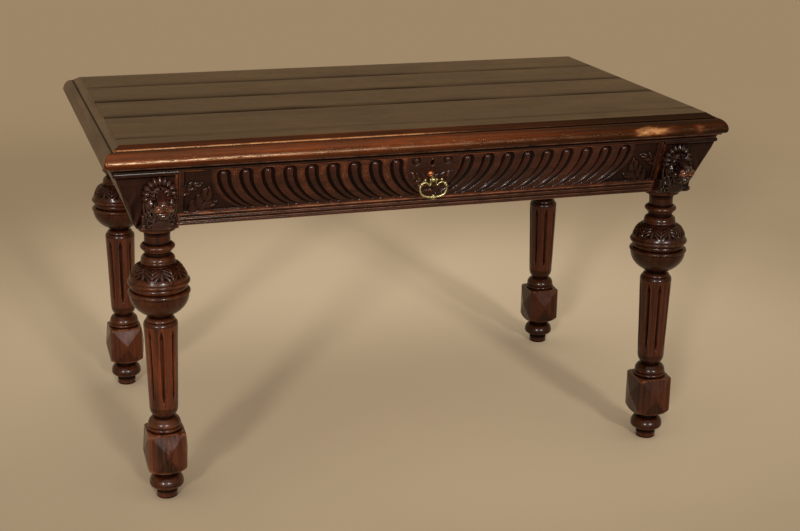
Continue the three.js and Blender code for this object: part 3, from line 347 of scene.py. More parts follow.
def oak(name, axis, seed, dark, light, worn, grime_and_shade, gloss=(0.28, 0.5), coat=0.25, pores=0.5, broad_share=0.5,
        streak=0.012, worn_share=0.6, grime_and_shade_share=0.85, stain=None, bump=0.25, shine=0.42, tint=(1, 1, 1)):
    """Old waxed oak with its grain along an axis; worn crests, and dark hollows of dirt and painted shade,
    come from the relief.
    """
    make = Nodes(bpy.data.materials.new(f"oak_{name}_{seed}"), axis=axis, seed=seed)
    streaks = make.noise(STREAK_LENGTH, streak, *STREAK_FIGURE)
    fibres, broad, pore, uneven = (make.noise(*figure) for figure in (FIBRES, BROAD, PORES, UNEVEN))
    tone = make.math("MULTIPLY_ADD", streaks, 1 - broad_share, make.scaled(broad, broad_share))
    colour = make.mix(make.span(tone, *TONE_SPAN), dark, light)
    colour = make.dimmed(colour, make.span(fibres, *FIBRE_SPAN))
    pits = make.span(pore, *PIT_SPAN, to_end=pores)
    colour = make.mix(pits, colour, grime_and_shade)
    if stain:
        stained = make.span(make.noise(*PATCHES), *STAIN_SPAN, to_end=STAIN_SHARE)
        colour = make.mix(stained, colour, stain)
    relief, shade = make.value("relief"), make.value("shade")
    rubbed = make.span(uneven, *RUBBED_SPAN)
    crest = make.math("MULTIPLY", make.span(relief, *CREST_SPAN), rubbed, clamp=True)
    colour = make.mix(make.scaled(crest, worn_share), colour, worn)
    # hollows darkened towards the grime colour: dirt and wax, and painted shade in the cavities
    hollow = make.span(relief, *HOLLOW_SPAN)
    colour = make.mix(make.scaled(hollow, grime_and_shade_share), colour, grime_and_shade)
    # shade darkens the colour: the wood's own darker tone, and painted shade
    make.link(make.dimmed(colour, make.math("SUBTRACT", 1.0, shade)), "Base Color")
    mottled = make.math("ADD", make.scaled(uneven, UNEVEN_ROUGH), make.scaled(fibres, FIBRES_ROUGH))
    rough = make.span(mottled, *MOTTLED_SPAN, *gloss)
    make.link(make.math("ADD", rough, make.scaled(hollow, HOLLOW_ROUGH), clamp=True), "Roughness")
    height = make.math("SUBTRACT", make.scaled(fibres, FIBRES_HEIGHT), pits)
    make.bumped(make.math("ADD", height, make.scaled(uneven, UNEVEN_HEIGHT)), bump, GRAIN_DEPTH)
    dull = make.span(shade, 0.0, 1.0, to_start=1.0, to_end=DARK_SHINE)
    shine_here = make.span(hollow, 0.0, 1.0, to_start=shine, to_end=HOLLOW_SHINE)
    make.link(make.scaled(shine_here, dull), "Specular IOR Level")
    make.link(make.span(hollow, 0.0, 1.0, to_start=coat, to_end=0.0), "Coat Weight")
    make.set(Coat_Roughness=COAT_ROUGH, Specular_Tint=(*tint, 1))
    return make.owner


# Metals: length, width and detail of brass's grain, its hollows, and strength and depth of the bumps
BRASS_GRAIN, BRASS_HOLLOW, BROWNED = (0.001, 0.001, 2.0), (-0.05, -0.5), (44, 36, 18)
BRASS_BUMP, IRON_BUMP = (0.15, 0.0003), (0.4, 0.0004)


def metal(name, dark, light, cloud, clear=(0.35, 0.65), gloss=(0.35, 0.65, 0.35, 0.5), purity=1.0):
    """Nodes, mottle and colour of a metal; its noise is given as size in metres, detail, roughness."""
    size, detail, roughness = cloud
    make = Nodes(bpy.data.materials.new(name))
    mottled = make.noise(along=size, across=size, detail=detail, roughness=roughness)
    make.link(make.span(mottled, *gloss), "Roughness")
    make.set(Metallic=purity)
    return make, mottled, make.mix(make.span(mottled, *clear), dark, light)


def brass():
    """Old yellow brass, mottled, and brown in its hollows."""
    make, _, colour = metal("brass", dark=(146, 136, 88), light=(200, 192, 146), cloud=(0.012, 5.0, 0.65),
                            gloss=(0.35, 0.65, 0.22, 0.42))
    hollow = make.span(make.value("relief"), *BRASS_HOLLOW)
    make.link(make.mix(hollow, colour, BROWNED), "Base Color")
    make.bumped(make.noise(*BRASS_GRAIN), *BRASS_BUMP)
    return make.owner


def copper():
    """Copper gone brown, mottled lighter and darker."""
    make, _, colour = metal("copper", dark=(150, 84, 52), light=(206, 138, 98), cloud=(0.006, 4.0, 0.6))
    make.link(colour, "Base Color")
    return make.owner


def iron():
    """Dull wrought iron mottled with brown rust."""
    make, mottled, colour = metal("iron", dark=(74, 70, 66), light=(84, 52, 34), cloud=(0.006, 6.0, 0.7),
                                  clear=(0.45, 0.62), gloss=(0.4, 0.6, 0.45, 0.75), purity=0.7)
    make.link(colour, "Base Color")
    make.bumped(mottled, *IRON_BUMP)
    return make.owner


# near-black of wax in the hollows, also the colour of the painted shade there
WAX_AND_SHADE_BLACK = (8, 5, 4)


def field_oak(seed):
    return oak("field", ALONG_X, seed, dark=(76, 54, 27), light=(98, 73, 40), worn=(120, 98, 70),
               grime_and_shade=(30, 19, 10), gloss=(0.5, 0.66), coat=0.03, streak=0.006, stain=(60, 42, 24),
               worn_share=0.4, bump=0.35)


def front_edge_oak(seed):
    return oak("front_edge", ALONG_X, seed, dark=(50, 14, 6), light=(140, 59, 13), worn=(214, 154, 98),
               grime_and_shade=(20, 8, 6), gloss=(0.18, 0.34), coat=0.0, pores=0.6, streak=0.0045, broad_share=0.35,
               stain=(50, 16, 8), bump=0.3, shine=0.72, tint=(1.0, 0.72, 0.44), worn_share=0.9)


def edge_oak(seed, axis):
    return oak("edge", axis, seed, dark=(70, 50, 32), light=(104, 80, 54), worn=(134, 108, 80),
               grime_and_shade=(24, 15, 9), gloss=(0.48, 0.62), coat=0.05, pores=0.4)


def frieze_oak(seed, axis):
    return oak("frieze", axis, seed, dark=(30, 12, 8), light=(72, 30, 16), worn=(150, 92, 62),
               grime_and_shade=WAX_AND_SHADE_BLACK, gloss=(0.28, 0.44), coat=0.12, pores=0.3, worn_share=0.75,
               tint=(1.0, 0.86, 0.7))


def carved_oak(seed, axis, worn=(140, 76, 44), grime_and_shade=WAX_AND_SHADE_BLACK, shine=0.3, coat=0.2):
    return oak("carved", axis, seed, dark=(28, 12, 8), light=(62, 26, 16), worn=worn, grime_and_shade=grime_and_shade,
               gloss=(0.18, 0.34), coat=coat, shine=shine, tint=(1.0, 0.94, 0.88), pores=0.2, worn_share=0.8,
               grime_and_shade_share=0.97)


def leg_oak(seed):
    return oak("leg", ALONG_Z, seed, dark=(26, 10, 6), light=(98, 43, 17), worn=(132, 74, 42),
               grime_and_shade=(9, 5, 4), gloss=(0.2, 0.34), coat=0.14, pores=0.4, streak=0.006, broad_share=0.4,
               shine=0.34)


def inner_oak(seed, axis):
    return oak("inner", axis, seed, dark=(120, 88, 54), light=(166, 128, 82), worn=(176, 140, 96),
               grime_and_shade=(70, 48, 28), gloss=(0.6, 0.8), coat=0.0)


# Lofted bars: boards, rails and panels
CORNER_STEPS = 3
CORNER_SHARE = 1 / 2.2
END_EASE_SHARE = 1 / 3
BAR_SPACING, BAR_EASE, BAR_UNEVEN = 12, 0.6, 0.15
BAR_WAVES = (60, 70)
BAR_STRETCH = [0.3, 0.3, 1]


def rounded(outline, radius):
    """A closed outline with its corners rounded."""
    outline = np.asarray(outline, float)
    made = []
    for before, here, after in zip(np.roll(outline, 1, 0), outline, np.roll(outline, -1, 0)):
        to_before, to_after = before - here, after - here
        long_before, long_after = np.linalg.norm(to_before), np.linalg.norm(to_after)
        reach = min(radius, long_before * CORNER_SHARE, long_after * CORNER_SHARE)
        start = here + to_before / long_before * reach
        end = here + to_after / long_after * reach
        for k in range(CORNER_STEPS + 1):
            share = k / CORNER_STEPS
            made.append((1 - share) ** 2 * start + 2 * share * (1 - share) * here + share ** 2 * end)
    return np.array(made)


def refined(outline, spacing):
    """The closed outline with points no further apart than the spacing."""
    made = []
    for here, after in zip(outline, np.roll(outline, -1, 0)):
        steps = max(1, int(np.ceil(np.linalg.norm(after - here) / spacing)))
        made += [here + (after - here) * k / steps for k in range(steps)]
    return np.array(made)


def stations(half, spacing, ease):
    """Places along a bar, with eased ends, and how far its section shrinks there."""
    part = ease * END_EASE_SHARE
    middle = np.linspace(ease - half, half - ease, max(2, int(2 * half / spacing)))
    places = np.concatenate([[-half, part - half], middle, [half - part, half]])
    shrink = np.concatenate([[ease, part], np.zeros(len(middle)), [part, ease]])
    return places, shrink


def bar(outline, half, axis, spacing=BAR_SPACING, ease=BAR_EASE, uneven=BAR_UNEVEN, seed=0):
    """A closed bar along X or Y, about the middle, from an outline [across, height]."""
    centre = (outline.min(0) + outline.max(0)) / 2
    half_size = (outline.max(0) - outline.min(0)) / 2
    rings = []
    for place, amount in zip(*stations(half, spacing, ease)):
        section = centre + (outline - centre) * (1 - amount / np.maximum(half_size, amount))
        run = np.full(len(section), place)
        columns = [run, section[:, 0]] if axis == ALONG_X else [section[:, 0], run]
        rings.append(np.stack([*columns, section[:, 1]], -1))
    rings = np.array(rings)
    if uneven:
        for shift, (way, length) in enumerate(zip((ALONG_Z, 1 - axis), BAR_WAVES)):
            rings[..., way] += wobble(rings * BAR_STRETCH, length, uneven, seed + shift)
    return Shape().loft(rings)


# Boards of the field
BOARDS = 5
BOARD_ARRIS, BOARD_CUP, BOARD_DROP, BOARD_HOLLOW = 2.2, 0.8, 0.15, 2
BOARD_POINTS, BOARD_SPACING, BOARD_EASE = 6, 14, 0.8
SEAM_REACH, SEAM_BACK_REACH, SAG_SHADE_REACH = 10, 5.5, 32
FADED, LEAST_FADED = 0.62, 0.2
BOARD_STRETCH, BOARD_WAVE, BOARD_UNEVEN = [0.15, 1, 1], 150, 0.25
SEAM_STRETCH, SEAM_WAVE, SEAM_RAGGED = [0.4, 1, 0], 60, 0.5
FADE_STRETCH, FADE_WAVE, FADE_UNEVEN, BOARD_APART = [1, 0.02, 0], 330, 0.75, 500
# How dark each seam is, from the front edge to the back, and how much painted shade lies where the board
# behind it sags
SEAM_DIRT_SHARES = [0.15, 0.35, 0.5, 0.5, 0.4, 0.15]
SAG_SHADE_SHARES = [0.0, 0.16, 0.3, 0.3, 0.22]


def board_dirt_and_shade(points, i, front, back):
    """How dark a board of the field is at its seams, which fade in and out along their length, with painted
    shade where the board sags behind a seam.
    """
    ragged = 1 - wobble(points * SEAM_STRETCH, SEAM_WAVE, SEAM_RAGGED, seed=60 + i)
    faded = FADED + wobble(points * FADE_STRETCH + BOARD_APART * i, FADE_WAVE, FADE_UNEVEN, seed=80 + i)
    from_front, from_back = points[:, 1] - front, back - points[:, 1]
    seams = SEAM_DIRT_SHARES[i] * np.exp(-from_front / SEAM_REACH * ragged)
    seams = seams + SEAM_DIRT_SHARES[i + 1] * np.exp(-from_back / SEAM_BACK_REACH * ragged)
    # dark seams, and painted shade over the sag behind each seam
    return np.clip(faded, LEAST_FADED, 1) * seams + SAG_SHADE_SHARES[i] * hump(from_front, SAG_SHADE_REACH)


def field_boards():
    for i in range(BOARDS):
        name = f"top_board_{i + 1}"
        low, high = node_box(name)
        front, back = low[1] - CENTRE_Y, high[1] - CENTRE_Y
        outline = rounded([[front, low[2]], [back, low[2]], [back, high[2]], [front, high[2]]], BOARD_ARRIS)
        shape = bar(refined(outline, BOARD_POINTS), high[0], ALONG_X, BOARD_SPACING, BOARD_EASE, uneven=0)
        points = shape.points
        on_top = points[:, 2] > high[2] - BOARD_ARRIS
        cup = BOARD_CUP * (2 * (points[:, 1] - front) / (back - front) - 1) ** 4
        uneven = wobble(points * BOARD_STRETCH, BOARD_WAVE, BOARD_UNEVEN, seed=40 + i)
        points[on_top, 2] -= np.clip(BOARD_DROP + cup + uneven, 0, BOARD_HOLLOW)[on_top]
        add_piece(f"field_board_{i + 1}", shape, field_oak(i + 1), "desk", "oak_field", [name], sharp=60,
                  relief=PAINT_ONLY, paint=-board_dirt_and_shade(points, i, front, back) * on_top)


# Moulded edge of the top, in lengths that meet at mitres
NOSE_LOWER_INSET, NOSE_LOWER_RISE = 7.5, 9
NOSE_UPPER_INSET, NOSE_UPPER_RISE = 19.3, 21
NOSE_TOP = NOSE_LOWER_RISE + NOSE_UPPER_RISE
NOSE_SHARPNESS = 0.8
NOSE_BACK = 19.5
QUIRK_WIDTH, QUIRK_DEPTH = 3.4, 3.2
ARRIS = NOSE_BACK + QUIRK_WIDTH
ARRIS_RADIUS = 0.9
BEVEL_RISE = 1.8
EDGE_WIDTH, EDGE_POINTS = 37.5, 3.5
SHELF_WIDTH, SHELF_THICKNESS = 22, 12
CORNER_RADII = {"front_left": 12, "front_right": 4, "back_right": 6, "back_left": 10}
LEAST_RADIUS, EDGE_UNEVEN = 0.5, 0.25
MITRE_STEPS, MITRE_SPACING = 7, 14
QUARTER_ARC = np.linspace(0, math.pi / 2, 11)
EDGE_WAVES = {1: (90, 1.0, 0), 2: (110, 0.6, 7)}
EDGE_STRETCH = [0.5, 0.2, 0.2]


def edge_profile():
    """Closed outline [inwards, rise] of the moulded edge."""
    fall, rise = 1 - np.cos(QUARTER_ARC), np.sin(QUARTER_ARC)
    lower = np.stack([NOSE_LOWER_INSET * fall, NOSE_LOWER_RISE * (1 - rise)], -1)[::-1]
    upper_inset = NOSE_UPPER_INSET * fall ** NOSE_SHARPNESS
    upper = np.stack([upper_inset, NOSE_LOWER_RISE + NOSE_UPPER_RISE * rise], -1)
    nose = np.concatenate([lower, upper[1:]])
    floor_of_quirk = NOSE_TOP - QUIRK_DEPTH
    shelf = EDGE_WIDTH + SHELF_WIDTH
    corners = [[NOSE_BACK, NOSE_TOP], [NOSE_BACK, floor_of_quirk], [ARRIS, floor_of_quirk],
               [ARRIS, NOSE_TOP + BEVEL_RISE], [EDGE_WIDTH, TOP - UNDERSIDE], [EDGE_WIDTH, SHELF_THICKNESS],
               [shelf, SHELF_THICKNESS], [shelf, 0]]
    soft = rounded([nose[0], nose[-1], *corners], ARRIS_RADIUS)[2 * (CORNER_STEPS + 1):]
    return refined(np.concatenate([nose, soft]), EDGE_POINTS)


def mitred_run(profile, half_run, half_across, base, radii, uneven, seed):
    """A length of moulding between its two mitres, with rounded outer corners, facing -y."""
    inward, rise = profile[:, 0], profile[:, 1]
    ends = []
    for side, corner in zip((-1, 1), radii):
        radius = np.maximum(corner - inward, LEAST_RADIUS)
        angle = (1 - np.arange(MITRE_STEPS + 1)[:, None] / MITRE_STEPS) * math.pi / 4
        x = half_run - inward - radius + radius * np.sin(angle) - GAP / 2
        y = -(half_across - inward - radius) - radius * np.cos(angle)
        ends.append(np.stack([side * x, y, np.broadcast_to(base + rise, x.shape)], -1))
    straight = np.linspace(-1, 1, int(2 * half_run / MITRE_SPACING))[1:-1]
    tangent = half_run - inward - max(radii)
    middle = [np.stack([share * tangent, -(half_across - inward), base + rise], -1) for share in straight]
    run = np.array([*ends[0], *middle, *ends[1][::-1]])
    outer = ramp(inward, NOSE_BACK, 0)
    for way, (length, share, shift) in EDGE_WAVES.items():
        run[..., way] += wobble(run * EDGE_STRETCH, length, uneven * share, seed + shift) * outer
    return run


def turned_side(points, turn):
    """Quarter turns about the middle of the top."""
    x, y, z = np.moveaxis(points, -1, 0)
    for _ in range(turn):
        x, y = -y, x
    return np.stack([x, y, z], -1)


# Paint of the edge: dirt and painted shade in its quirk, and in front a rubbed arris with a painted highlight
# line, a darker bevel, painted shade on the nose's upper face, and bare patches
QUIRK_DIRT_AND_SHADE, QUIRK_DARK_IN, QUIRK_DARK_OUT, QUIRK_DARK_UP = 0.9, 1.4, 0.1, 1.1
SIDE_QUIRK_SHARE = 0.3
ARRIS_RUB_AND_HIGHLIGHT, ARRIS_LINE_HALF, ARRIS_LINE_FROM, ARRIS_LINE_TO = 0.95, 0.9, 130, -60
BEVEL_DARKENING, BEVEL_DARKENING_FROM = 0.3, 1.2
NOSE_TOP_SHADE, NOSE_TOP_SHADE_FROM, NOSE_TOP_SHADE_TO = 0.15, 5, 15
# Bare patches: place along the edge, half length, strength
BARE_PATCHES = [(478, 28, 0.9), (440, 12, 0.4), (579, 7, 0.45)]
BARE_HEIGHT, BARE_HALF, BARE_CLEAR = 13, 7, 1.6
BARE_STRETCH, BARE_WAVE, BARE_RAGGED = [1, 0, 6], 30, 0.9
# Shade of the front edge: over all, painted shade under the nose, darker on the bevel, painted shade on the
# nose's upper part and towards the right as the light falls off
EDGE_SHADE, UNDER_SHADE, BEVEL_SHADE, UPPER_SHADE, EDGE_RIGHT_SHADE = 0.37, 0.3, 0.22, 0.15, 0.79
EDGE_RIGHT_SHADE_TO, UNDER_REACH, UPPER_FROM, UPPER_TO = 0.65, 3, 20, 30
PATCH_CLEARS_SHADE = 0.75


def edge_finish(points, profile, front):
    """Paint and shade for a length of the edge."""
    inward = np.tile(profile[:, 0], len(points) // len(profile))
    x, rise = points[:, 0], points[:, 2] - UNDERSIDE
    # dirt and painted shade in the quirk, less of it on the sides
    in_quirk = (inward > NOSE_BACK - QUIRK_DARK_IN) * (inward < ARRIS + QUIRK_DARK_OUT)
    paint = -QUIRK_DIRT_AND_SHADE * in_quirk * (rise < NOSE_TOP + QUIRK_DARK_UP)
    if not front:
        return SIDE_QUIRK_SHARE * paint, 0.0
    # a rubbed arris with a painted highlight line, strongest towards the left
    rubbed = ramp(x, ARRIS_LINE_FROM, ARRIS_LINE_TO) * (np.abs(inward - ARRIS) < ARRIS_LINE_HALF)
    # darker on the bevel and behind it
    paint = paint - BEVEL_DARKENING * (inward > ARRIS + BEVEL_DARKENING_FROM) * (rise > SHELF_THICKNESS)
    paint = paint + ARRIS_RUB_AND_HIGHLIGHT * rubbed * (rise > NOSE_TOP)
    # painted shade on the nose's upward face, where the light grazes
    on_nose = (inward < NOSE_BACK) * (rise > NOSE_LOWER_RISE)
    paint = paint - NOSE_TOP_SHADE * ramp(inward, NOSE_TOP_SHADE_FROM, NOSE_TOP_SHADE_TO) * on_nose
    ragged = wobble(points * BARE_STRETCH, BARE_WAVE, BARE_RAGGED, seed=17)
    for place, reach, amount in BARE_PATCHES:
        spot = ((x - place) / reach) ** 2 + ((rise - BARE_HEIGHT) / BARE_HALF) ** 2
        paint = paint + amount * np.clip(BARE_CLEAR * np.exp(-spot * (1 + ragged)), 0, 1)
    bevel = inward > ARRIS
    # painted shade under the nose and on its upper face
    under = ramp(rise, NOSE_LOWER_RISE, NOSE_LOWER_RISE - UNDER_REACH) * (inward < NOSE_BACK)
    upper = ramp(rise, UPPER_FROM, UPPER_TO) * (1 - bevel)
    shade = np.clip(EDGE_SHADE + UNDER_SHADE * under + BEVEL_SHADE * bevel + UPPER_SHADE * upper, 0, 1)
    # painted shade towards the right, where the light falls off
    shade = 1 - (1 - shade) * (1 - EDGE_RIGHT_SHADE * ramp(x / HALF_LENGTH, 0, EDGE_RIGHT_SHADE_TO))
    return paint, shade * (1 - PATCH_CLEARS_SHADE * np.clip(paint, 0, 1))


def side_reach(turn):
    """Half length of a side of the top, and how far it is from the middle."""
    return (HALF_DEPTH, HALF_LENGTH) if turn % 2 else (HALF_LENGTH, HALF_DEPTH)


def edge_mouldings():
    profile = edge_profile()
    for name, turn, start, end in SIDES:
        front = name == "front"
        radii = (CORNER_RADII[start], CORNER_RADII[end])
        points = mitred_run(profile, *side_reach(turn), UNDERSIDE, radii, EDGE_UNEVEN, seed=10 + turn)
        paint, shade = edge_finish(points.reshape(-1, 3), profile, front)
        material = front_edge_oak(1) if front else edge_oak(turn + 1, turn % 2)
        add_piece(f"moulded_edge_{name}", Shape().loft(turned_side(points, turn)), material, "desk",
                  "oak_moulding", [f"edge_moulding_{name}"], relief=PAINT_ONLY, sharp=35, paint=paint,
                  shade=shade)


# Small cove mould under the top, darkened all over as painted shade under the overhang
COVE_FOOT, COVE_LIP, COVE_REACH, COVE_RISE = 2.7, 2.2, 10.7, 6
COVE_PAINTED_SHADE, COVE_SHADE, COVE_UNEVEN, COVE_RADII = 0.35, 0.6, 0.1, (6, 6)


def cove_moulds():
    bed_low, bed_high = node_box("bed_mould_front")
    shoulder = FRIEZE_TOP - (bed_high[2] - bed_low[2]) - GAP
    depth = bed_high[2] - shoulder
    for name, turn, _, _ in SIDES:
        low, high = node_box(f"bed_mould_{name}")
        _, across = side_reach(turn)
        over = [CENTRE_Y - low[1], high[0], high[1] - CENTRE_Y, -low[0]][turn]
        neck = across - over + COVE_REACH
        swing = (COVE_REACH - COVE_FOOT) * (1 - np.cos(QUARTER_ARC))
        arc = np.stack([neck - COVE_FOOT - swing, COVE_LIP + COVE_RISE * np.sin(QUARTER_ARC)], -1)
        profile = np.array([[neck, GAP], [neck - COVE_FOOT, GAP], *arc, [neck - COVE_REACH, depth],
                            [neck, depth]])
        half_run = (high - low)[turn % 2] / 2 + neck - COVE_REACH
        rings = mitred_run(profile, half_run, across, shoulder, COVE_RADII, COVE_UNEVEN, seed=30 + turn)
        shape = Shape().loft(turned_side(rings, turn))
        # painted shade: the cove lies under the top's overhang
        add_piece(f"cove_mould_{name}", shape, frieze_oak(20 + turn, turn % 2), "desk", "oak_moulding",
                  [f"bed_mould_{name}"], relief=COVE_RELIEF, sharp=35, paint=-COVE_PAINTED_SHADE, shade=COVE_SHADE)


# Frieze boards: name, side, direction, seed
FRIEZES = [("left", -1, ALONG_Y, 0), ("right", 1, ALONG_Y, 1), ("back", 1, ALONG_X, 3)]
FRIEZE_RADIUS, FRIEZE_POINTS = 1.2, 6


def frieze_profile():
    """Closed outline [outward offset, height] of a frieze board."""
    foot = CANT_HEIGHT - BAND_HEIGHT
    top = FRIEZE_TOP - FRIEZE_BOTTOM
    neck = CANT_REACH - NECK_INSET
    back = CANT_REACH - BOARD_THICKNESS
    outline = [[-BOARD_THICKNESS, 0], [0, 0], [cant_at(foot) - BAND_PROUD, BAND_FOOT], [CANT_REACH, foot],
               [CANT_REACH, CANT_HEIGHT], [neck, CANT_HEIGHT], [neck, top], [back, top], [back, CANT_HEIGHT]]
    return refined(rounded(outline, FRIEZE_RADIUS), FRIEZE_POINTS)


def frieze_boards():
    profile = frieze_profile()
    for name, side, axis, seed in FRIEZES:
        foot, inner = (FOOT_Y, BLOCK_INNER_X) if axis == ALONG_X else (FOOT_X, BLOCK_INNER_Y)
        outline = np.stack([side * (foot + profile[:, 0]), FRIEZE_BOTTOM + profile[:, 1]], -1)
        shape = bar(outline, inner - GAP, axis, seed=50 + seed)
        add_piece(f"frieze_{name}_panel", shape, frieze_oak(30 + seed, axis), "desk", "oak_frieze",
                  [f"frieze_{name}"], relief=FRIEZE_RELIEF)


# Rail under the drawer
RAIL_RIGHT_SHADE, RAIL_RIGHT_SHADE_FROM, RAIL_RIGHT_SHADE_TO = 0.55, -0.1, 0.7
RAIL_DEPTH, RAIL_FACE_POINTS, RAIL_SPACING, RAIL_UNEVEN = 50, 76, 9, 0.22
RAIL_LEDGE_RUB_AND_HIGHLIGHT, RAIL_LEDGE_LINE_TO = 0.95, 0.5
RAIL_LEDGE_PROUD, RAIL_LEDGE_HEIGHT = 3.4, 4
RAIL_QUIRK_DEPTH, RAIL_QUIRK_HALF, RAIL_QUIRK_DROP = 0.8, 1.2, 3
# Beads: share of the height, how far they stand out, half height
RAIL_BEADS = [(0.66, 1.5, 1.6), (0.3, 1.9, 1.9)]
BEAD_GROOVE, RAIL_FOOT_RADIUS = 0.7, 1.6


def rail_face(rise):
    """How far the rail's face stands out from the cant at a height: a ledge, two beads and a round foot."""
    from_ledge = rise - (RAIL_HEIGHT - RAIL_LEDGE_HEIGHT / 2)
    out = RAIL_LEDGE_PROUD * arch(from_ledge / (RAIL_LEDGE_HEIGHT / 2))
    out = out - RAIL_QUIRK_DEPTH * hump(from_ledge + RAIL_QUIRK_DROP, RAIL_QUIRK_HALF)
    for share, proud, half in RAIL_BEADS:
        from_bead = rise - RAIL_HEIGHT * share
        out = out + proud * arch(from_bead / half)
        out = out - BEAD_GROOVE * hump(np.abs(from_bead) - half - BEAD_GROOVE, BEAD_GROOVE)
    return out - RAIL_FOOT_RADIUS * ramp(rise, RAIL_FOOT_RADIUS, 0) ** 2


def bottom_rail():
    rises = np.linspace(RAIL_HEIGHT, 0, RAIL_FACE_POINTS)
    face = np.stack([cant_at(rises) + rail_face(rises), rises], -1)
    outline = np.concatenate([face, [[-RAIL_DEPTH, 0], [-RAIL_DEPTH, RAIL_HEIGHT]]])
    section = np.stack([-(FOOT_Y + outline[:, 0]), FRIEZE_BOTTOM + outline[:, 1]], -1)
    shape = bar(section, BLOCK_INNER_X - GAP, ALONG_X, RAIL_SPACING, uneven=RAIL_UNEVEN, seed=60)
    across, upright = shape.points[:, 0] / HALF_LENGTH, shape.points[:, 2] - FRIEZE_BOTTOM
    # the ledge lighter towards the left: wear, and a painted highlight line along it
    rubbed = (upright > RAIL_HEIGHT - RAIL_LEDGE_HEIGHT) * np.clip(RAIL_LEDGE_LINE_TO - across, 0, 1)
    # painted shade towards the right, as the light falls off
    shade = RAIL_RIGHT_SHADE * ramp(across, RAIL_RIGHT_SHADE_FROM, RAIL_RIGHT_SHADE_TO)
    add_piece("moulded_drawer_rail", shape, frieze_oak(40, ALONG_X), "desk", "oak_frieze",
              ["front_bottom_rail"], relief=RAIL_RELIEF, sharp=50, paint=RAIL_LEDGE_RUB_AND_HIGHLIGHT * rubbed, shade=shade)


# Corner blocks with carved leaves on their canted faces
FACE_STEP = 1.6
LEAF_LOBES, LEAF_DEPTH, LEAF_REACH, LEAF_SWING, LEAF_SOFT = 12, 2.2, 66, 9, 2.5
LEAF_ROOT_ALONG, LEAF_ROOT_UP, LEAF_FLATTEN, LEAF_TWIST = 8, 6, 0.8, 0.05
LEAF_GROUND_SHARE, LEAF_LOW_FADE, LEAF_TOP_MARGIN, LEAF_TOP_FADE = 0.35, 8, 7, 5
BAND_SINK, BAND_SINK_REACH, BAND_ARRIS, BAND_ROUND = 0.96, 12, 0.5, 0.8
HIP_ARRIS, HIP_ROUND = 0.45, 3
BLOCK_DIRT, BAND_PAINTED_SHADE = 0.25, 1.1
# Shade of each corner block; the right-hand ones take more, as painted shade where the light falls off
BLOCK_SHADES = {"front_left": 0.2, "front_right": 0.55, "back_left": 0.2, "back_right": 0.4}


def block_leaf(along, up):
    """Shallow leaf that spreads up from the foot of a hip; along is from the hip, up from the bottom."""
    across, rise = along + LEAF_ROOT_ALONG, up * LEAF_FLATTEN + LEAF_ROOT_UP
    radius, angle = np.hypot(across, rise), np.arctan2(rise, across)
    lobes = np.cos(LEAF_LOBES * angle + radius * LEAF_TWIST)
    reach = LEAF_REACH + LEAF_SWING * np.cos(LEAF_LOBES * angle)
    inside = 1 / (1 + np.exp((radius - reach) / LEAF_SOFT))
    end = CANT_HEIGHT - BAND_HEIGHT - LEAF_TOP_MARGIN
    inside = inside * ramp(up, 0, LEAF_LOW_FADE) * ramp(up, end, end - LEAF_TOP_FADE)
    return LEAF_DEPTH * lerp(LEAF_GROUND_SHARE, 1, lobes) * inside


def block_face(places, hip, rise):
    """Places along a block's face, and how far the face stands out there, with an eased hip."""
    carved = block_leaf(hip - places, rise) if rise < BAND_FOOT else 0
    fade = ramp(hip - places, 0, HIP_ROUND)
    eased = HIP_ARRIS * (1 - fade)
    return places - eased, carved * fade - eased


def corner_block(side_x, side_y):
    rises = np.append(np.arange(0, BAND_FOOT, FACE_STEP), BAND_FOOT)
    outs = cant_at(rises) - BAND_SINK * ramp(rises, BAND_FOOT - BAND_SINK_REACH, BAND_FOOT)
    band = CANT_HEIGHT - BAND_HEIGHT
    eased, neck = CANT_REACH - BAND_ARRIS, CANT_REACH - NECK_INSET
    head = [(band, eased), (band + BAND_ROUND, CANT_REACH), (CANT_HEIGHT - BAND_ROUND, CANT_REACH),
            (CANT_HEIGHT, eased), (CANT_HEIGHT, neck), (FRIEZE_TOP - FRIEZE_BOTTOM, neck)]
    inner_x, inner_y = BLOCK_INNER_X + GAP, BLOCK_INNER_Y + GAP
    count_x = int((FOOT_X + CANT_REACH - BLOCK_INNER_X) / FACE_STEP)
    count_y = int((FOOT_Y + CANT_REACH - BLOCK_INNER_Y) / FACE_STEP)
    rings = []
    for rise, out in [*zip(rises, outs), *head]:
        hip_x, hip_y = FOOT_X + out, FOOT_Y + out
        along_x, out_y = block_face(np.linspace(inner_x, hip_x, count_x), hip_x, rise)
        along_y, out_x = block_face(np.linspace(hip_y, inner_y, count_y), hip_y, rise)
        front = np.stack([along_x, hip_y + out_y], -1)
        end = np.stack([hip_x + out_x, along_y], -1)
        ring = np.concatenate([front, end[1:], [[inner_x, inner_y]]])
        rings.append(np.column_stack([ring, np.full(len(ring), FRIEZE_BOTTOM + rise)]))
    return Shape().loft(np.array(rings) * [side_x, side_y, 1])


def corner_blocks():
    band = FRIEZE_BOTTOM + CANT_HEIGHT - BAND_HEIGHT + BAND_ARRIS
    for i, (name, side_x, side_y) in enumerate(CORNERS):
        shape = corner_block(side_x, side_y)
        # the band under the top darkened and its highlight dulled: painted shade under the overhang
        paint = -BAND_PAINTED_SHADE * (shape.points[:, 2] > band) - BLOCK_DIRT
        add_piece(f"hip_block_{name}", shape, carved_oak(50 + i, ALONG_Z), "desk", "oak_frieze",
                  [f"corner_block_{name}"], relief=BLOCK_RELIEF, sharp=50, paint=paint,
                  shade=BLOCK_SHADES[name])


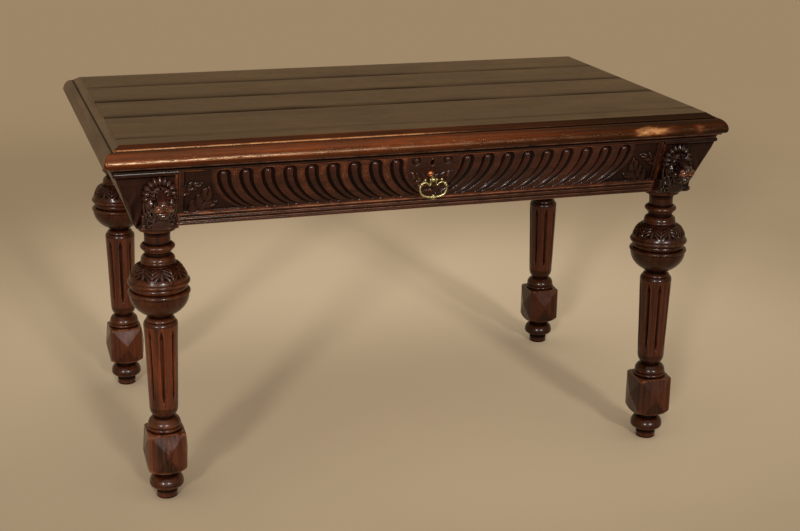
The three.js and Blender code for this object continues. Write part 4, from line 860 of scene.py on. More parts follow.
# Turned legs
SEGMENTS = 240
FLUTES, FLUTE_TURN, FLUTE_HALF, FLUTE_DEPTH, FLUTE_ROUND = 8, 7, 4.9, 3.6, 0.6
FLUTE_MARGIN, FLUTE_TOP_MARGIN, FLUTE_POINT = 11, 4.4, 16
FLUTE_FOOT_SHARE, FLUTE_FULL_SHARE = 0.8, 1 / 1.35
SHAFT_FOOT, SHAFT_HEAD, SHAFT_STEPS = 29, 34.3, 100
DOME_LEAVES, DOME_LEAF_REACH, DOME_LEAF_DEPTH = 8, 0.87, 2.1
DOME_HALF, DOME_TAPER, DOME_LEAST, DOME_TOP_FADE, DOME_FOOT_FADE = 0.46, 2.6, 0.02, 0.1, 0.12
DOME_RIBS_DOWN, DOME_RIBS_ACROSS, DOME_RIB, DOME_RIB_FADE = 4.2, 3.4, 0.55, 0.05
DOME_VEIN, DOME_VEIN_HALF = 1.2, 0.035
DOME_DART, DOME_DART_HALF, DOME_DART_FROM, DOME_DART_TO = 1.62, 0.07, 0.45, 0.65
BLOCK_SIDE, BLOCK_TALL, BLOCK_CHAMFER = 75, 90, 2.5
BLOCK_FOOT_RADIUS, BLOCK_FOOT_RISE = 22, 19
BLOCK_HEAD_RADIUS, BLOCK_HEAD_RISE = 40, 6
DIAMOND_SIDE, DIAMOND_RISE = 66, 8
DIAMOND_LOW_SHARE, DIAMOND_HIGH_SHARE = 0.4, 0.5
DIAMOND_LOW = BLOCK_FOOT_RISE * DIAMOND_LOW_SHARE
DIAMOND_HIGH = BLOCK_TALL - BLOCK_HEAD_RISE * DIAMOND_HIGH_SHARE
LEG_WAVE, LEG_UNEVEN = 45, 0.25

# Members of a leg from the floor up: shape, radii of its start and end (root and crest of a bead),
# height, steps
LEG_FOOT = [
    ("line", 19, 21, 1.5, 2), ("line", 21, 21.6, 22.5, 6), ("bowl", 28.5, 35, 8, 8),
    ("dome", 35, 22.5, 18, 12), ("line", 22.5, 21.5, 10, 4), ("block", 22, 40, BLOCK_TALL, 76),
    ("bead", 30, 35, 9, 12), ("line", 30, 30, 1.5, 2), ("dome", 33.2, 20, 17, 12),
    ("line", 19.8, 19.8, 4, 3), ("bowl", 20, 29, 20, 12),
]
LEG_BULB = [
    ("dome", 34.3, 29.6, 8.6, 8), ("line", 28.6, 28.2, 1.2, 2), ("dome", 29.4, 21, 7.2, 8),
    ("line", 20.5, 20.5, 5, 3), ("basin", 22, 59, 43, 22), ("bead", 56.5, 61.6, 9, 12),
    ("bead", 52, 55.6, 12, 12), ("bead", 56.5, 61.4, 10, 12), ("crown", 58, 39, 29.5, 26),
    ("line", 36.5, 36.5, 2, 2), ("bead", 32, 34.4, 8, 8), ("dome", 33.6, 25.5, 10, 8),
    ("line", 25.3, 25.3, 8, 4), ("line", 28.2, 28.2, 2.2, 2), ("bead", 26.5, 34, 13, 14),
    ("line", 25.6, 25.4, 16, 6), ("flare", 25.4, 36, 12, 10), ("line", 36.6, 36.6, 7.7, 4),
]
# Curves of the members: whether they leave their start steeply, and how sharp they are
MEMBER_CURVES = {"bowl": (True, 1), "basin": (True, 1.35), "dome": (False, 1), "flare": (False, 1),
                 "crown": (False, 0.65)}
BEAD_SHARPNESS = 1.1
# Shade by member, darker or lighter by kind; by leg, the right-hand and back legs take painted shade where
# the light falls off
MEMBER_SHADES = {"block": 0.0, "shaft": -0.1, "basin": 0.62, "crown": 0.4}
# FACET_SHADE is painted shade on the block's lower facets, which face down
OTHER_SHADE, FOOT_SHADE, FACET_SHADE, FACET_CLEAR = 0.48, 0.1, 0.45, 12
LEG_SHADES = {"front_left": 0.0, "front_right": 0.47, "back_left": 0.22, "back_right": 0.62}
FLUTE_DIRT_AND_SHADE, FLUTE_DARK_GAIN, FLUTE_DARK_LESS = 0.15, 1.6, 0.3
CROWN_DIRT, CROWN_CLEAN_SHARE, LEG_APART = 0.3, 0.13, 1000


def member_line(shape, start, end, share):
    """Radius and height share at a share of a turned member."""
    angle = share * math.pi / 2
    if shape == "bead":
        swell = math.sin(share * math.pi) ** BEAD_SHARPNESS
        return start + (end - start) * swell, (1 - math.cos(share * math.pi)) / 2
    if shape not in MEMBER_CURVES:
        return start + (end - start) * share, share
    steep, sharpness = MEMBER_CURVES[shape]
    rise, fall = math.sin(angle), 1 - math.cos(angle)
    across, up = (rise, fall) if steep else (fall, rise)
    return start + (end - start) * across ** sharpness, up


def leg_profile():
    """Rings of the leg as radius, height, shape, and share of the member; the shaft fills what is left."""
    spare = FRIEZE_BOTTOM - GAP - sum(member[3] for member in LEG_FOOT + LEG_BULB)
    rings = []
    height = 0.0
    for shape, start, end, tall, steps in [*LEG_FOOT, ("shaft", SHAFT_FOOT, SHAFT_HEAD, spare, SHAFT_STEPS),
                                           *LEG_BULB]:
        for k in range(steps + 1):
            radius, up = member_line(shape, start, end, k / steps)
            rings.append((radius, height + tall * up, shape, k / steps))
        height += tall
    return rings, spare


def square_section(angle, rise):
    """Radius of the leg's square block at an angle and a rise, with turned ends and diamond points."""
    turn = (angle + math.pi / 4) % (math.pi / 2) - math.pi / 4
    half = BLOCK_SIDE / 2
    reach = half * math.sqrt(2)
    across = half * np.tan(turn)
    up = (rise - (DIAMOND_LOW + DIAMOND_HIGH) / 2) * DIAMOND_SIDE / (DIAMOND_HIGH - DIAMOND_LOW)
    point = DIAMOND_RISE * np.clip(1 - np.maximum(np.abs(across), abs(up)) / (DIAMOND_SIDE / 2), 0, 1)
    sides = (half + point) / np.cos(turn)
    corner = (reach - BLOCK_CHAMFER) / np.cos(np.abs(turn) - math.pi / 4)
    foot = arch(1 - min(1, rise / BLOCK_FOOT_RISE))
    head = arch(1 - min(1, (BLOCK_TALL - rise) / BLOCK_HEAD_RISE))
    turned = min(lerp(BLOCK_FOOT_RADIUS, reach, foot), lerp(BLOCK_HEAD_RADIUS, reach, head))
    return np.minimum(np.minimum(sides, corner), turned)


def flute_cut(angle, radius, rise, tall):
    """Depth of the shaft's flutes at an angle and a rise: pointed at both ends, widest high up."""
    pitch = 2 * math.pi / FLUTES
    turn = (angle + math.radians(FLUTE_TURN) + pitch / 2) % pitch - pitch / 2
    ends = min(rise - FLUTE_MARGIN, tall - FLUTE_TOP_MARGIN - rise)
    taper = math.sqrt(ramp(ends, 0, FLUTE_POINT))
    width = taper * lerp(FLUTE_FOOT_SHARE, 1, ramp(rise / tall, 0, FLUTE_FULL_SHARE))
    half = max(FLUTE_HALF * radius / SHAFT_HEAD * width, LEAST)
    return FLUTE_DEPTH * taper * np.clip(1 - (turn * radius / half) ** 2, 0, 1) ** FLUTE_ROUND


def dome_leaf(angle, share):
    """Leaves that hang from the collar over the crown: share is 0 at the rings and 1 at the collar."""
    across = np.abs((angle * DOME_LEAVES / (2 * math.pi)) % 1 - 0.5)
    down = (1 - share) / DOME_LEAF_REACH
    if down > 1:
        return 0 * across
    width = DOME_HALF * np.sqrt(np.clip(1 - down ** DOME_TAPER, 0, 1)) + DOME_LEAST
    inside = np.clip(1 - (across / width) ** 2, 0, 1)
    ribs = np.sin(2 * math.pi * (DOME_RIBS_DOWN * down + DOME_RIBS_ACROSS * across))
    ribs = 1 + DOME_RIB * ribs * ramp(across, 0, DOME_RIB_FADE)
    vein = DOME_VEIN * hump(across, DOME_VEIN_HALF) * inside
    dart = DOME_DART * hump(across - 0.5, DOME_DART_HALF) * ramp(down, DOME_DART_FROM, DOME_DART_TO)
    edges = min(1.0, down / DOME_TOP_FADE, (1 - down) / DOME_FOOT_FADE)
    return edges * (DOME_LEAF_DEPTH * (np.sqrt(inside) * ribs - 1) + vein + dart)


def leg_ring(radius, height, shape, share, spare, angle):
    """Radii of one ring of a leg, their paint (dirt, with painted shade in the flutes), and their shade by
    member, with painted shade on the block's lower facets.
    """
    other = OTHER_SHADE if height > BLOCK_FOOT_RISE else FOOT_SHADE
    shade = np.full(SEGMENTS, MEMBER_SHADES.get(shape, other))
    if shape == "block":
        across = np.abs((angle + math.pi / 4) % (math.pi / 2) - math.pi / 4) * 4 / math.pi
        # painted shade on the lower facet of each diamond point
        shade = shade + FACET_SHADE * np.clip((0.5 - share - across / 2) * FACET_CLEAR, 0, 1)
        return square_section(angle, share * BLOCK_TALL), np.zeros(SEGMENTS), shade
    reach = np.full(SEGMENTS, float(radius))
    if shape == "shaft":
        flute = flute_cut(angle, radius, share * spare, spare)
        # flutes darkened: dirt and painted shade in the hollows
        dirt = FLUTE_DIRT_AND_SHADE * np.clip(flute / FLUTE_DEPTH * FLUTE_DARK_GAIN - FLUTE_DARK_LESS, 0, 1)
        return reach - flute, -dirt, shade
    if shape == "crown":
        dirt = CROWN_DIRT if share > CROWN_CLEAN_SHARE else 0
        return reach + dome_leaf(angle, share), np.full(SEGMENTS, -dirt), shade
    return reach, np.zeros(SEGMENTS), shade


def leg_shape(seed):
    """The turned leg, its paint and its shade."""
    rings, spare = leg_profile()
    angle = np.arange(SEGMENTS) / SEGMENTS * 2 * math.pi
    around = np.stack([np.cos(angle), np.sin(angle)], -1)
    finish = [leg_ring(*ring, spare, angle) for ring in rings]
    reach, paint, shade = (np.array(values) for values in zip(*finish))
    flat = reach[..., None] * around
    heights = np.broadcast_to(np.array([ring[1] for ring in rings])[:, None, None], (*reach.shape, 1))
    made = np.concatenate([flat, heights], -1)
    made[..., :2] += around * wobble(made + seed * LEG_APART, LEG_WAVE, LEG_UNEVEN, seed)[..., None]
    return made, paint, np.ravel(shade)


def legs():
    for i, (name, side_x, side_y) in enumerate(CORNERS):
        points, paint, shade = leg_shape(70 + i)
        shape = Shape().loft(points + [side_x * LEG_X, side_y * LEG_Y, 0])
        # the right-hand and back legs take painted shade through LEG_SHADES
        add_piece(f"turned_leg_{name}", shape, leg_oak(60 + i), "desk", "oak_leg", [f"leg_{name}"],
                  relief=LEG_RELIEF, paint=paint, shade=1 - (1 - shade) * (1 - LEG_SHADES[name]))


# Drawer front: flutes that hold tongues and curve towards the lock, leaves in the middle and at both ends
CARVING_STEP = 0.85
SHELL, SHELL_SEAM = 10, 0.01
FRONT_LOW, FRONT_HIGH = DRAWER_LOW[2] - FRIEZE_BOTTOM, DRAWER_HIGH[2] - FRIEZE_BOTTOM
FRONT_FOOT, FRONT_HEAD = slope_height(FRONT_LOW), slope_height(FRONT_HIGH)
FRONT_HALF = DRAWER_HIGH[0]
GADROONS = 9
FIRST_SHARE, PITCH_SHARE = 0.148, 0.0853
FIRST, PITCH = FIRST_SHARE * FRONT_HALF, PITCH_SHARE * FRONT_HALF
SWEEP_PITCHES, SWEEP_ROUND, SWEEP_ROUND_SHARE, SWEEP_STEEPEST = 1.35, 0.985, 0.55, 1e-4
HEAD_DROP, TAIL_RISE = 15, 5
HEAD, TAIL = FRONT_HEAD - HEAD_DROP, FRONT_FOOT + TAIL_RISE
FLUTE_SHARE, FLUTE_NARROWS, TONGUE_SHARE, TONGUE_NARROWS = 0.66, 0.1, 0.37, 0.15
HOLLOW_DEPTH, TONGUE_PROUD, TAIL_FADE, FAR_OFF, LEAN_POWER = 6.0, 0.8, 3, 9.0, 0.6


def sweep_of(share):
    """How far a gadroon has moved to the middle, and its slope, at a share of its length."""
    round_share = (SWEEP_ROUND * share) ** 2
    arc = 1 - np.sqrt(np.maximum(1 - round_share, 0))
    place = (1 - SWEEP_ROUND_SHARE) * share ** 2 + SWEEP_ROUND_SHARE * arc
    arc_slope = SWEEP_ROUND ** 2 * share / np.sqrt(np.maximum(1 - round_share, SWEEP_STEEPEST))
    return place, 2 * (1 - SWEEP_ROUND_SHARE) * share + SWEEP_ROUND_SHARE * arc_slope


def gadroon_height(x, s):
    """Relief of all the gadroons over the field, and how near each point is to a flute."""
    share = ramp(s, HEAD, TAIL)
    place, slope = sweep_of(share)
    sweep = SWEEP_PITCHES * PITCH
    lean = 1 / np.sqrt(1 + (sweep * slope / (HEAD - TAIL)) ** 2)
    deep = HOLLOW_DEPTH * lean ** LEAN_POWER * ramp(s, TAIL - TAIL_FADE, TAIL)
    wide = FLUTE_SHARE * (1 - FLUTE_NARROWS * share)
    slim = TONGUE_SHARE * (1 - TONGUE_NARROWS * share)
    height = np.zeros(x.shape)
    nearest = np.full(x.shape, FAR_OFF)
    for side in (-1, 1):
        for i in range(GADROONS):
            line = side * (FIRST + i * PITCH - sweep * place)
            distance = np.hypot(x - line, np.maximum(s - HEAD, 0)) / (PITCH / 2)
            ratio = distance / wide
            hollow = -deep * arch(ratio)
            tongue = -deep + (deep + TONGUE_PROUD * (1 - share)) * arch(distance / slim)
            carved = np.maximum(hollow, np.where(distance < slim, tongue, hollow))
            height = np.where(ratio < np.minimum(nearest, 1), carved, height)
            nearest = np.minimum(nearest, ratio)
    return height, nearest


# Leaves of the front's left half: root and tip as [x, slope], half width, bend, lobes, stand-out
END_LEAVES = [
    ((-498, 10), (-446, 88), 24, -12, 4, 3.9), ((-462, 8), (-430, 52), 14, 8, 3, 3.2),
    ((-498, 70), (-458, 96), 12, 6, 3, 3.4),
]
CENTRE_LEAVES = [
    ((-4, 70), (-46, 88), 15, 9, 3, 3.2), ((-6, 60), (-46, 30), 17, -12, 4, 3.5),
    ((-2, 46), (-20, 8), 12, 6, 3, 3.0), ((-60, 92), (-34, 62), 11, -6, 3, 2.8),
]
LEAF_FACE, LEAF_RIB, LEAF_VEIN, VEIN_HALF = 0.85, 0.3, 0.45, 1.3
LEAF_NARROW, LEAF_LOBE, LEAF_TIP_POWER, LEAF_SIDE_POWER, RIB_SLANT = 0.74, 0.26, 0.8, 0.7, 0.9


def leaf(x, s, root, tip, half, bend, lobes, proud):
    """Relief of one carved leaf with lobes, ribs and a sunk vein."""
    run = np.array(tip, float) - root
    length = np.linalg.norm(run)
    along = ((x - root[0]) * run[0] + (s - root[1]) * run[1]) / length ** 2
    within = np.clip(along, 0, 1)
    across = ((s - root[1]) * run[0] - (x - root[0]) * run[1]) / length - bend * np.sin(math.pi * within)
    aside = np.abs(across) / half
    lobed = LEAF_NARROW + LEAF_LOBE * np.abs(np.cos(math.pi * (lobes * within - aside)))
    plain = half * np.sin(math.pi * within ** LEAF_TIP_POWER) ** LEAF_SIDE_POWER
    reach = np.maximum(plain * lobed, LEAST)
    inside = arch(across / reach) * ((along > 0) & (along < 1))
    ribs = np.cos(2 * math.pi * (lobes * within - RIB_SLANT * aside))
    return proud * inside * (LEAF_FACE + LEAF_RIB * ribs - LEAF_VEIN * hump(across, VEIN_HALF))


PUNCH_SPACING, PUNCH_JITTER, PUNCH_HALF_SHARE, PUNCH_GRID = 3.4, 0.3, 0.3, (400, 60)


def punched_ground(x, s, seed=5):
    """Small round pits on a jittered grid."""
    jitter = np.random.default_rng(seed).uniform(-PUNCH_JITTER, PUNCH_JITTER, (*PUNCH_GRID, 2))
    column, row = (np.clip((place / PUNCH_SPACING).astype(int), 0, count - 1)
                   for place, count in zip((x + FRONT_HALF, s), PUNCH_GRID))
    centre_x = (column + 0.5 + jitter[column, row, 0]) * PUNCH_SPACING - FRONT_HALF
    centre_s = (row + 0.5 + jitter[column, row, 1]) * PUNCH_SPACING
    return hump(np.hypot(x - centre_x, s - centre_s), PUNCH_SPACING * PUNCH_HALF_SHARE)


BOSS_X, BOSS_SLOPE, BOSS_RADIUS, BOSS_FLATTEN, BOSS_PROUD = -2, 84, 9, 1.05, 1.2
BOSS_PETALS, BOSS_PETAL_SHARE = 6, 0.12
KNOB_X, KNOB_RISE, KNOB_RADIUS, KNOB_PROUD = 33, 2, 6.5, 3.0
KNOB_RING_GAP, KNOB_RING_HALF, KNOB_RING_DEPTH = 1.5, 2.2, 2.0


def centre_motif(x, s):
    """Carved boss over the pull, and the two small beads beside the keyhole."""
    boss = np.hypot(x - BOSS_X, (s - BOSS_SLOPE) * BOSS_FLATTEN) / BOSS_RADIUS
    petals = 1 + BOSS_PETAL_SHARE * np.cos(BOSS_PETALS * np.arctan2(s - BOSS_SLOPE, x - BOSS_X))
    height = BOSS_PROUD * arch(boss) * petals
    for side in (-1, 1):
        bead = np.hypot(x - side * KNOB_X, s - HEAD - KNOB_RISE)
        ring = -KNOB_RING_DEPTH * hump(bead - KNOB_RADIUS - KNOB_RING_GAP, KNOB_RING_HALF)
        height = height + ring + KNOB_PROUD * arch(bead / KNOB_RADIUS)
    return height


KEYHOLE_HALF, KEYHOLE_TALL, KEYHOLE_DROP, KEYHOLE_SQUARENESS = 4, 12, 12, 2.4
KEYHOLE_SKIN, RIM_PROUD, RIM_PLACE, RIM_HALF = 0.6, 1.6, 1.35, 0.22
STILE, STILE_SOFT, BORDER, BORDER_SOFT, FRAME_DEPTH, FRAME_ARRIS = 9.5, 0.6, 2.6, 0.5, 0.15, 0.9
GROUND_BETWEEN, GROUND_FREE, GROUND_FROM, PUNCH_DEPTH = -0.7, -2.8, 1.25, 0.55
MIDDLE_MARGIN, MIDDLE_FADE, END_MARGIN, END_FADE = 0.4, 14, 0.6, 8
# Paint of the flats between the gadroons, of the flutes (dirt and painted shade at their sides), of the
# leaves, and of the flutes' rims (wear with a painted highlight line)
FLAT_WEAR, PUNCH_DIRT, FLUTE_SIDE_DIRT_AND_SHADE, TONGUE_EDGE = 0.3, 0.6, 0.4, 0.56
HANDLED_X, HANDLED_REACH, HANDLED, HANDLED_LEAST = -170, 190, 0.36, 0.02
HANDLED_FOOT, HANDLED_HEAD, HANDLED_WAVE, HANDLED_UNEVEN = 0.1, 1.4, 60, 0.3
LEAF_CREST_FROM, LEAF_CREST_TO = 1.6, 3.0
LEAF_DIRT_END, LEAF_DIRT_MIDDLE, LEAF_WEAR_END, LEAF_WEAR_MIDDLE = 0.35, 0.15, 0.05, 0.5
RIM_WEAR_AND_HIGHLIGHT, RIM_LINE_PLACE, RIM_LINE_HALF = 0.45, 1.05, 0.05


def open_shares(x, s):
    """Where no gadroon runs: share of the middle, and share of the middle or an end."""
    lean = sweep_of(ramp(s, HEAD, TAIL))[0] * SWEEP_PITCHES
    first = FIRST - (lean + MIDDLE_MARGIN) * PITCH
    last = FIRST + (GADROONS - END_MARGIN - lean) * PITCH
    middle = ramp(np.abs(x), first, first - MIDDLE_FADE)
    return middle, np.maximum(middle, ramp(np.abs(x), last, last + END_FADE))


def front_border(x, s):
    """Share of the plain border, and the distance from the nearest edge."""
    from_end, from_rim = FRONT_HALF - np.abs(x), np.minimum(s - FRONT_FOOT, FRONT_HEAD - s)
    border = np.maximum(ramp(from_end, STILE + STILE_SOFT, STILE - STILE_SOFT),
                        ramp(from_rim, BORDER + BORDER_SOFT, BORDER - BORDER_SOFT))
    return border, np.minimum(from_end, from_rim)


def keyhole_form(x, s):
    """Where the keyhole is, and the rim that stands up round it."""
    across = np.abs(x) / KEYHOLE_HALF
    up = np.abs(s - FRONT_HEAD + KEYHOLE_DROP + KEYHOLE_TALL / 2) / (KEYHOLE_TALL / 2)
    hole = (across ** KEYHOLE_SQUARENESS + up ** KEYHOLE_SQUARENESS) < 1
    return hole, RIM_PROUD * hump(np.hypot(across, up) - RIM_PLACE, RIM_HALF)


def flat_wear(x, s, punched):
    """Wear of the flats between the gadroons, most of it where hands have been."""
    handled = HANDLED_LEAST + HANDLED * hump(x - HANDLED_X, HANDLED_REACH)
    handled = handled + wobble(np.stack([x, s, 0 * x], -1), HANDLED_WAVE, HANDLED_UNEVEN, seed=9)
    rising = lerp(HANDLED_FOOT, HANDLED_HEAD, ramp(s, FRONT_FOOT, FRONT_HEAD))
    return FLAT_WEAR + handled * rising - PUNCH_DIRT * punched


def drawer_relief(x, s):
    """Height of the carved front, and its paint: worn flats between dark tongues, dirt and painted shade at
    the flutes' sides, and wear with a painted highlight on the flutes' rims.
    """
    carved, nearest = gadroon_height(x, s)
    outside = ramp(nearest, 1, GROUND_FROM)
    middle, free = open_shares(x, s)
    border, from_edge = front_border(x, s)
    hole, rim = keyhole_form(x, s)
    punched = punched_ground(x, s)
    leaves = np.max([leaf(-np.abs(x), s, *values) for values in END_LEAVES + CENTRE_LEAVES], 0)
    leaves = np.maximum(leaves, 0) * free
    ground = lerp(GROUND_BETWEEN, GROUND_FREE, free) - PUNCH_DEPTH * punched
    height = carved + (ground + leaves + centre_motif(x, s) * middle) * outside
    height = lerp(height, -FRAME_DEPTH, border) - FRAME_ARRIS * hump(from_edge, FRAME_ARRIS)
    inside = 1 - border
    paint = flat_wear(x, s, punched) * outside * (1 - free) * inside
    # dirt and painted shade at the flutes' sides
    paint = paint - (1 - outside) * inside * np.where(nearest < TONGUE_EDGE, 0.0, FLUTE_SIDE_DIRT_AND_SHADE)
    crest = ramp(leaves, LEAF_CREST_FROM, LEAF_CREST_TO)
    dirt = lerp(LEAF_DIRT_END, LEAF_DIRT_MIDDLE, middle) * (1 - crest) * inside
    wear = lerp(LEAF_WEAR_END, LEAF_WEAR_MIDDLE, middle) * crest
    paint = paint + free * outside * (wear - dirt)
    # wear and a painted highlight line along the flutes' rims
    paint = paint + RIM_WEAR_AND_HIGHLIGHT * hump(nearest - RIM_LINE_PLACE, RIM_LINE_HALF) * inside * (1 - free / 2)
    return np.where(hole, KEYHOLE_SKIN - SHELL, height + rim), np.where(hole, -1, paint)


def drawer_back_board():
    """Plain back half of the drawer front, behind its carved shell."""
    x = FRONT_HALF * np.array([-1, 1, 1, -1])
    face = on_slope(x, [FRONT_FOOT, FRONT_FOOT, FRONT_HEAD, FRONT_HEAD], 0)
    depths = (SHELL / math.cos(CANT) + SHELL_SEAM, BOARD_THICKNESS)
    return Shape().loft([face + [0, depth, 0] for depth in depths])


def cutter(low, high, sloped=True):
    """Eight-cornered cutter between two corners, given as x, slope and outwards, or plainly."""
    (x0, y0, z0), (x1, y1, z1) = low, high
    around = ((x0, y0), (x1, y0), (x1, y1), (x0, y1))
    corners = np.array([[[x, y, z] for x, y in around] for z in (z0, z1)], float)
    return Shape().loft(on_slope(*np.moveaxis(corners, -1, 0)) if sloped else corners)


def cut(target, shapes):
    """Subtracts closed shapes from an object and keeps the result."""
    for shape in shapes:
        tool = new_object("cutter", shape)
        modifier = target.modifiers.new("cut", "BOOLEAN")
        modifier.operation = "DIFFERENCE"
        modifier.solver = "EXACT"
        modifier.object = tool
        bpy.context.view_layer.update()
        result = bpy.data.meshes.new_from_object(target.evaluated_get(bpy.context.evaluated_depsgraph_get()))
        target.modifiers.clear()
        spent = [target.data, tool.data]
        target.data = result
        bpy.data.objects.remove(tool)
        for mesh in spent:
            bpy.data.meshes.remove(mesh)


FRONT_WAVE, FRONT_UNEVEN = 26, 0.25
# Shade of the carved front: over all, darker towards the bottom, and painted shade towards the right as the
# light falls off
FRONT_SHADE, FRONT_FOOT_SHADE, FRONT_RIGHT_SHADE, FRONT_RIGHT_FROM = 0.1, 0.25, 0.8, 0.55
MORTISE_DROP, MORTISE_DEPTH, OVERRUN, KEYHOLE_OVERRUN = 30, 11, 9, 2


def drawer_front():
    """The carved shell, and behind it the plain board with the lock's mortise, the keyhole and the groove."""
    xs = np.linspace(-FRONT_HALF, FRONT_HALF, int(2 * FRONT_HALF / CARVING_STEP))
    x, s = np.meshgrid(xs, np.linspace(FRONT_FOOT, FRONT_HEAD, int((FRONT_HEAD - FRONT_FOOT) / CARVING_STEP)))
    height, paint = drawer_relief(x, s)
    height = height + wobble(np.stack([x, s, 0 * x], -1), FRONT_WAVE, FRONT_UNEVEN, seed=3)
    height[[0, -1], :] = 0
    height[:, [0, -1]] = 0
    shape = Shape().slab(on_slope(x, s, height), [0, SHELL / math.cos(CANT), 0])
    paint = np.concatenate([paint.ravel(), np.zeros(len(shape.points) - paint.size)])
    below = ramp(shape.points[:, 2], DRAWER_HIGH[2], DRAWER_LOW[2])
    right = np.clip(shape.points[:, 0] / FRONT_HALF - FRONT_RIGHT_FROM, 0, 1)
    add_piece("carved_drawer_front", shape, carved_oak(80, ALONG_X, worn=(140, 74, 40), grime_and_shade=(20, 12, 9)),
              "drawer", "oak_carved", ["drawer_front"], relief=FRONT_RELIEF, sharp=70, paint=paint,
              shade=FRONT_SHADE + FRONT_FOOT_SHADE * below + FRONT_RIGHT_SHADE * right)
    board = add_piece("drawer_front_back", drawer_back_board(), frieze_oak(81, ALONG_X), "drawer",
                      "oak_carved")
    lock_low, lock_high = node_box("lock_case")
    half = (lock_high[0] - lock_low[0]) / 2 + GAP
    inner_top = FRONT_HEAD - BOARD_THICKNESS * math.sin(CANT)
    back = -BOARD_THICKNESS * math.cos(CANT)
    mortise = cutter([-half, inner_top - MORTISE_DROP - GAP, back - OVERRUN],
                     [half, inner_top + OVERRUN, back + MORTISE_DEPTH + GAP])
    keyhole = cutter([-KEYHOLE_HALF, FRONT_HEAD - KEYHOLE_DROP - KEYHOLE_TALL, back - OVERRUN],
                     [KEYHOLE_HALF, FRONT_HEAD - KEYHOLE_DROP, KEYHOLE_OVERRUN])
    floor_low, floor_high = node_box("drawer_bottom")
    groove = cutter([floor_low[0] - GAP, floor_low[1] - CENTRE_Y - GAP, floor_low[2] - GAP],
                    [floor_high[0] + GAP, 0, floor_high[2] + GAP], sloped=False)
    cut(board, [mortise, keyhole, groove])


# Nodes that keep their mesh: their finish, and eased edges
WOOD_EASE, IRON_EASE = 0.4, 0.2


def dress(name, material, width=WOOD_EASE):
    """Gives a CAD node its material and eased edges."""
    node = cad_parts[name]
    node.data.materials.clear()
    node.data.materials.append(material)
    modifier = node.modifiers.new("eased", "BEVEL")
    modifier.width = width * MM
    modifier.segments = 2
    modifier.limit_method = "ANGLE"
    modifier.harden_normals = True


def inner_pieces():
    along_x = inner_oak(90, ALONG_X)
    along_y = inner_oak(91, ALONG_Y)
    iron_black = iron()
    for name in ("drawer_back", "drawer_bottom", "drawer_stop_left", "drawer_stop_right"):
        dress(name, along_x)
    for side in ("left", "right"):
        for part in ("drawer_side", "drawer_runner", "drawer_guide", "drawer_kicker"):
            dress(f"{part}_{side}", along_y)
        for end in ("front", "back"):
            dress(f"glue_block_{side}_{end}", along_y)
    for i in (1, 2, 3):
        dress(f"top_cleat_{i}", along_y)
    for i in range(1, 7):
        dress(f"top_screw_{i}", iron_black, IRON_EASE)
    dress("lock_case", iron_black)
    dress("front_top_rail", frieze_oak(92, ALONG_X))


# Pull: profiles are points [along, radius]
PULL_SLOPE, PULL_SIDES, BAIL_SIDES, BAIL_STEPS, NEARLY_UP = 82.0, 32, 20, 8, 0.9
BAR_PROUD, BAR_RADIUS, BAR_HALF = 17.6, 2.3, 17.5
BAR_PROFILE_SHARES = [
    (-1.17, 0.0), (-1.17, 0.4), (-1.14, 1.05), (-1.05, 1.5), (-0.95, 1.5), (-0.86, 1.15), (-0.8, 0.95),
    (-0.5, 0.9), (-0.47, 1.35), (-0.42, 1.35), (-0.4, 0.9), (-0.3, 0.9), (-0.27, 1.2), (-0.22, 1.75),
    (-0.12, 2.0), (0.0, 2.1),
]
POST = [(-27, 0.4), (-27, 3.0), (6, 3.0), (9, 2.8), (11.5, 3.6), (12.5, 4.2), (13.5, 3.6), (16, 3.2),
        (19, 3.0), (20.4, 1.8), (20.8, 0.3)]
ROSE_X, ROSE_SLOPE = -1.5, 85
ROSE = [(-1.0, 0.5), (-1.0, 7.0), (1.6, 7.4), (2.4, 7.2), (3.4, 6.2), (4.6, 5.6), (5.6, 4.4), (6.0, 3.0),
        (6.0, 0.5)]
BAIL_HALF_WIDTH, BAIL_HEIGHT, BAIL_TUBE = 28, 35.5, 1.95
BAIL_LINE_SHARES = [
    (0.232, 0.0), (0.225, 0.09), (0.2, 0.2), (0.22, 0.3), (0.31, 0.3), (0.43, 0.2), (0.63, 0.15), (0.84, 0.2),
    (0.97, 0.37), (1, 0.53), (0.92, 0.76), (0.7, 0.91), (0.4, 0.98), (0.12, 1),
]
KNOP_SHARE, EYE_SHARE, CUFF_SHARE = 0.56, 0.232, 0.12
BAIL_THIN_SHARE, BAIL_SWELLS = 0.72, [(0.28, (0.15, 0.45)), (0.22, (0.7, 1.0))]
BAIL_TIP_SHARE, BAIL_TIP_RISE = 0.6, 12
KNOP_HALF, KNOP_RADIUS, KNOP_RINGS, KNOP_AIM = 3.6, 3.9, 13, 2
KNOP = [(KNOP_HALF * math.cos(a), KNOP_RADIUS * math.sin(a)) for a in np.linspace(math.pi, 0, KNOP_RINGS)]
COLLAR = [(4.2, 0.5), (4.2, 2.6), (4.8, 3.2), (5.6, 3.2), (6.2, 2.6), (6.2, 0.5)]
EYE = [(-1.5, 2.35), (-1.6, 3.4), (-0.9, 4.0), (0.9, 4.0), (1.6, 3.4), (1.5, 2.35)]
CUFF = [(-1.2, 2.0), (-1.0, 3.5), (0.6, 3.7), (1.6, 3.0), (2.2, 2.0)]
HALF_DROP = [(-5.9, 0.4), (-5.6, 1.8), (-4.6, 2.9), (-3.4, 3.0), (-2.6, 2.3), (-2.1, 3.4), (-1.2, 4.1)]
DROP = [*HALF_DROP, (0, 4.3), *[(-along, radius) for along, radius in HALF_DROP[::-1]]]
CASTING = {"relief": CAST_RELIEF, "sharp": 45}


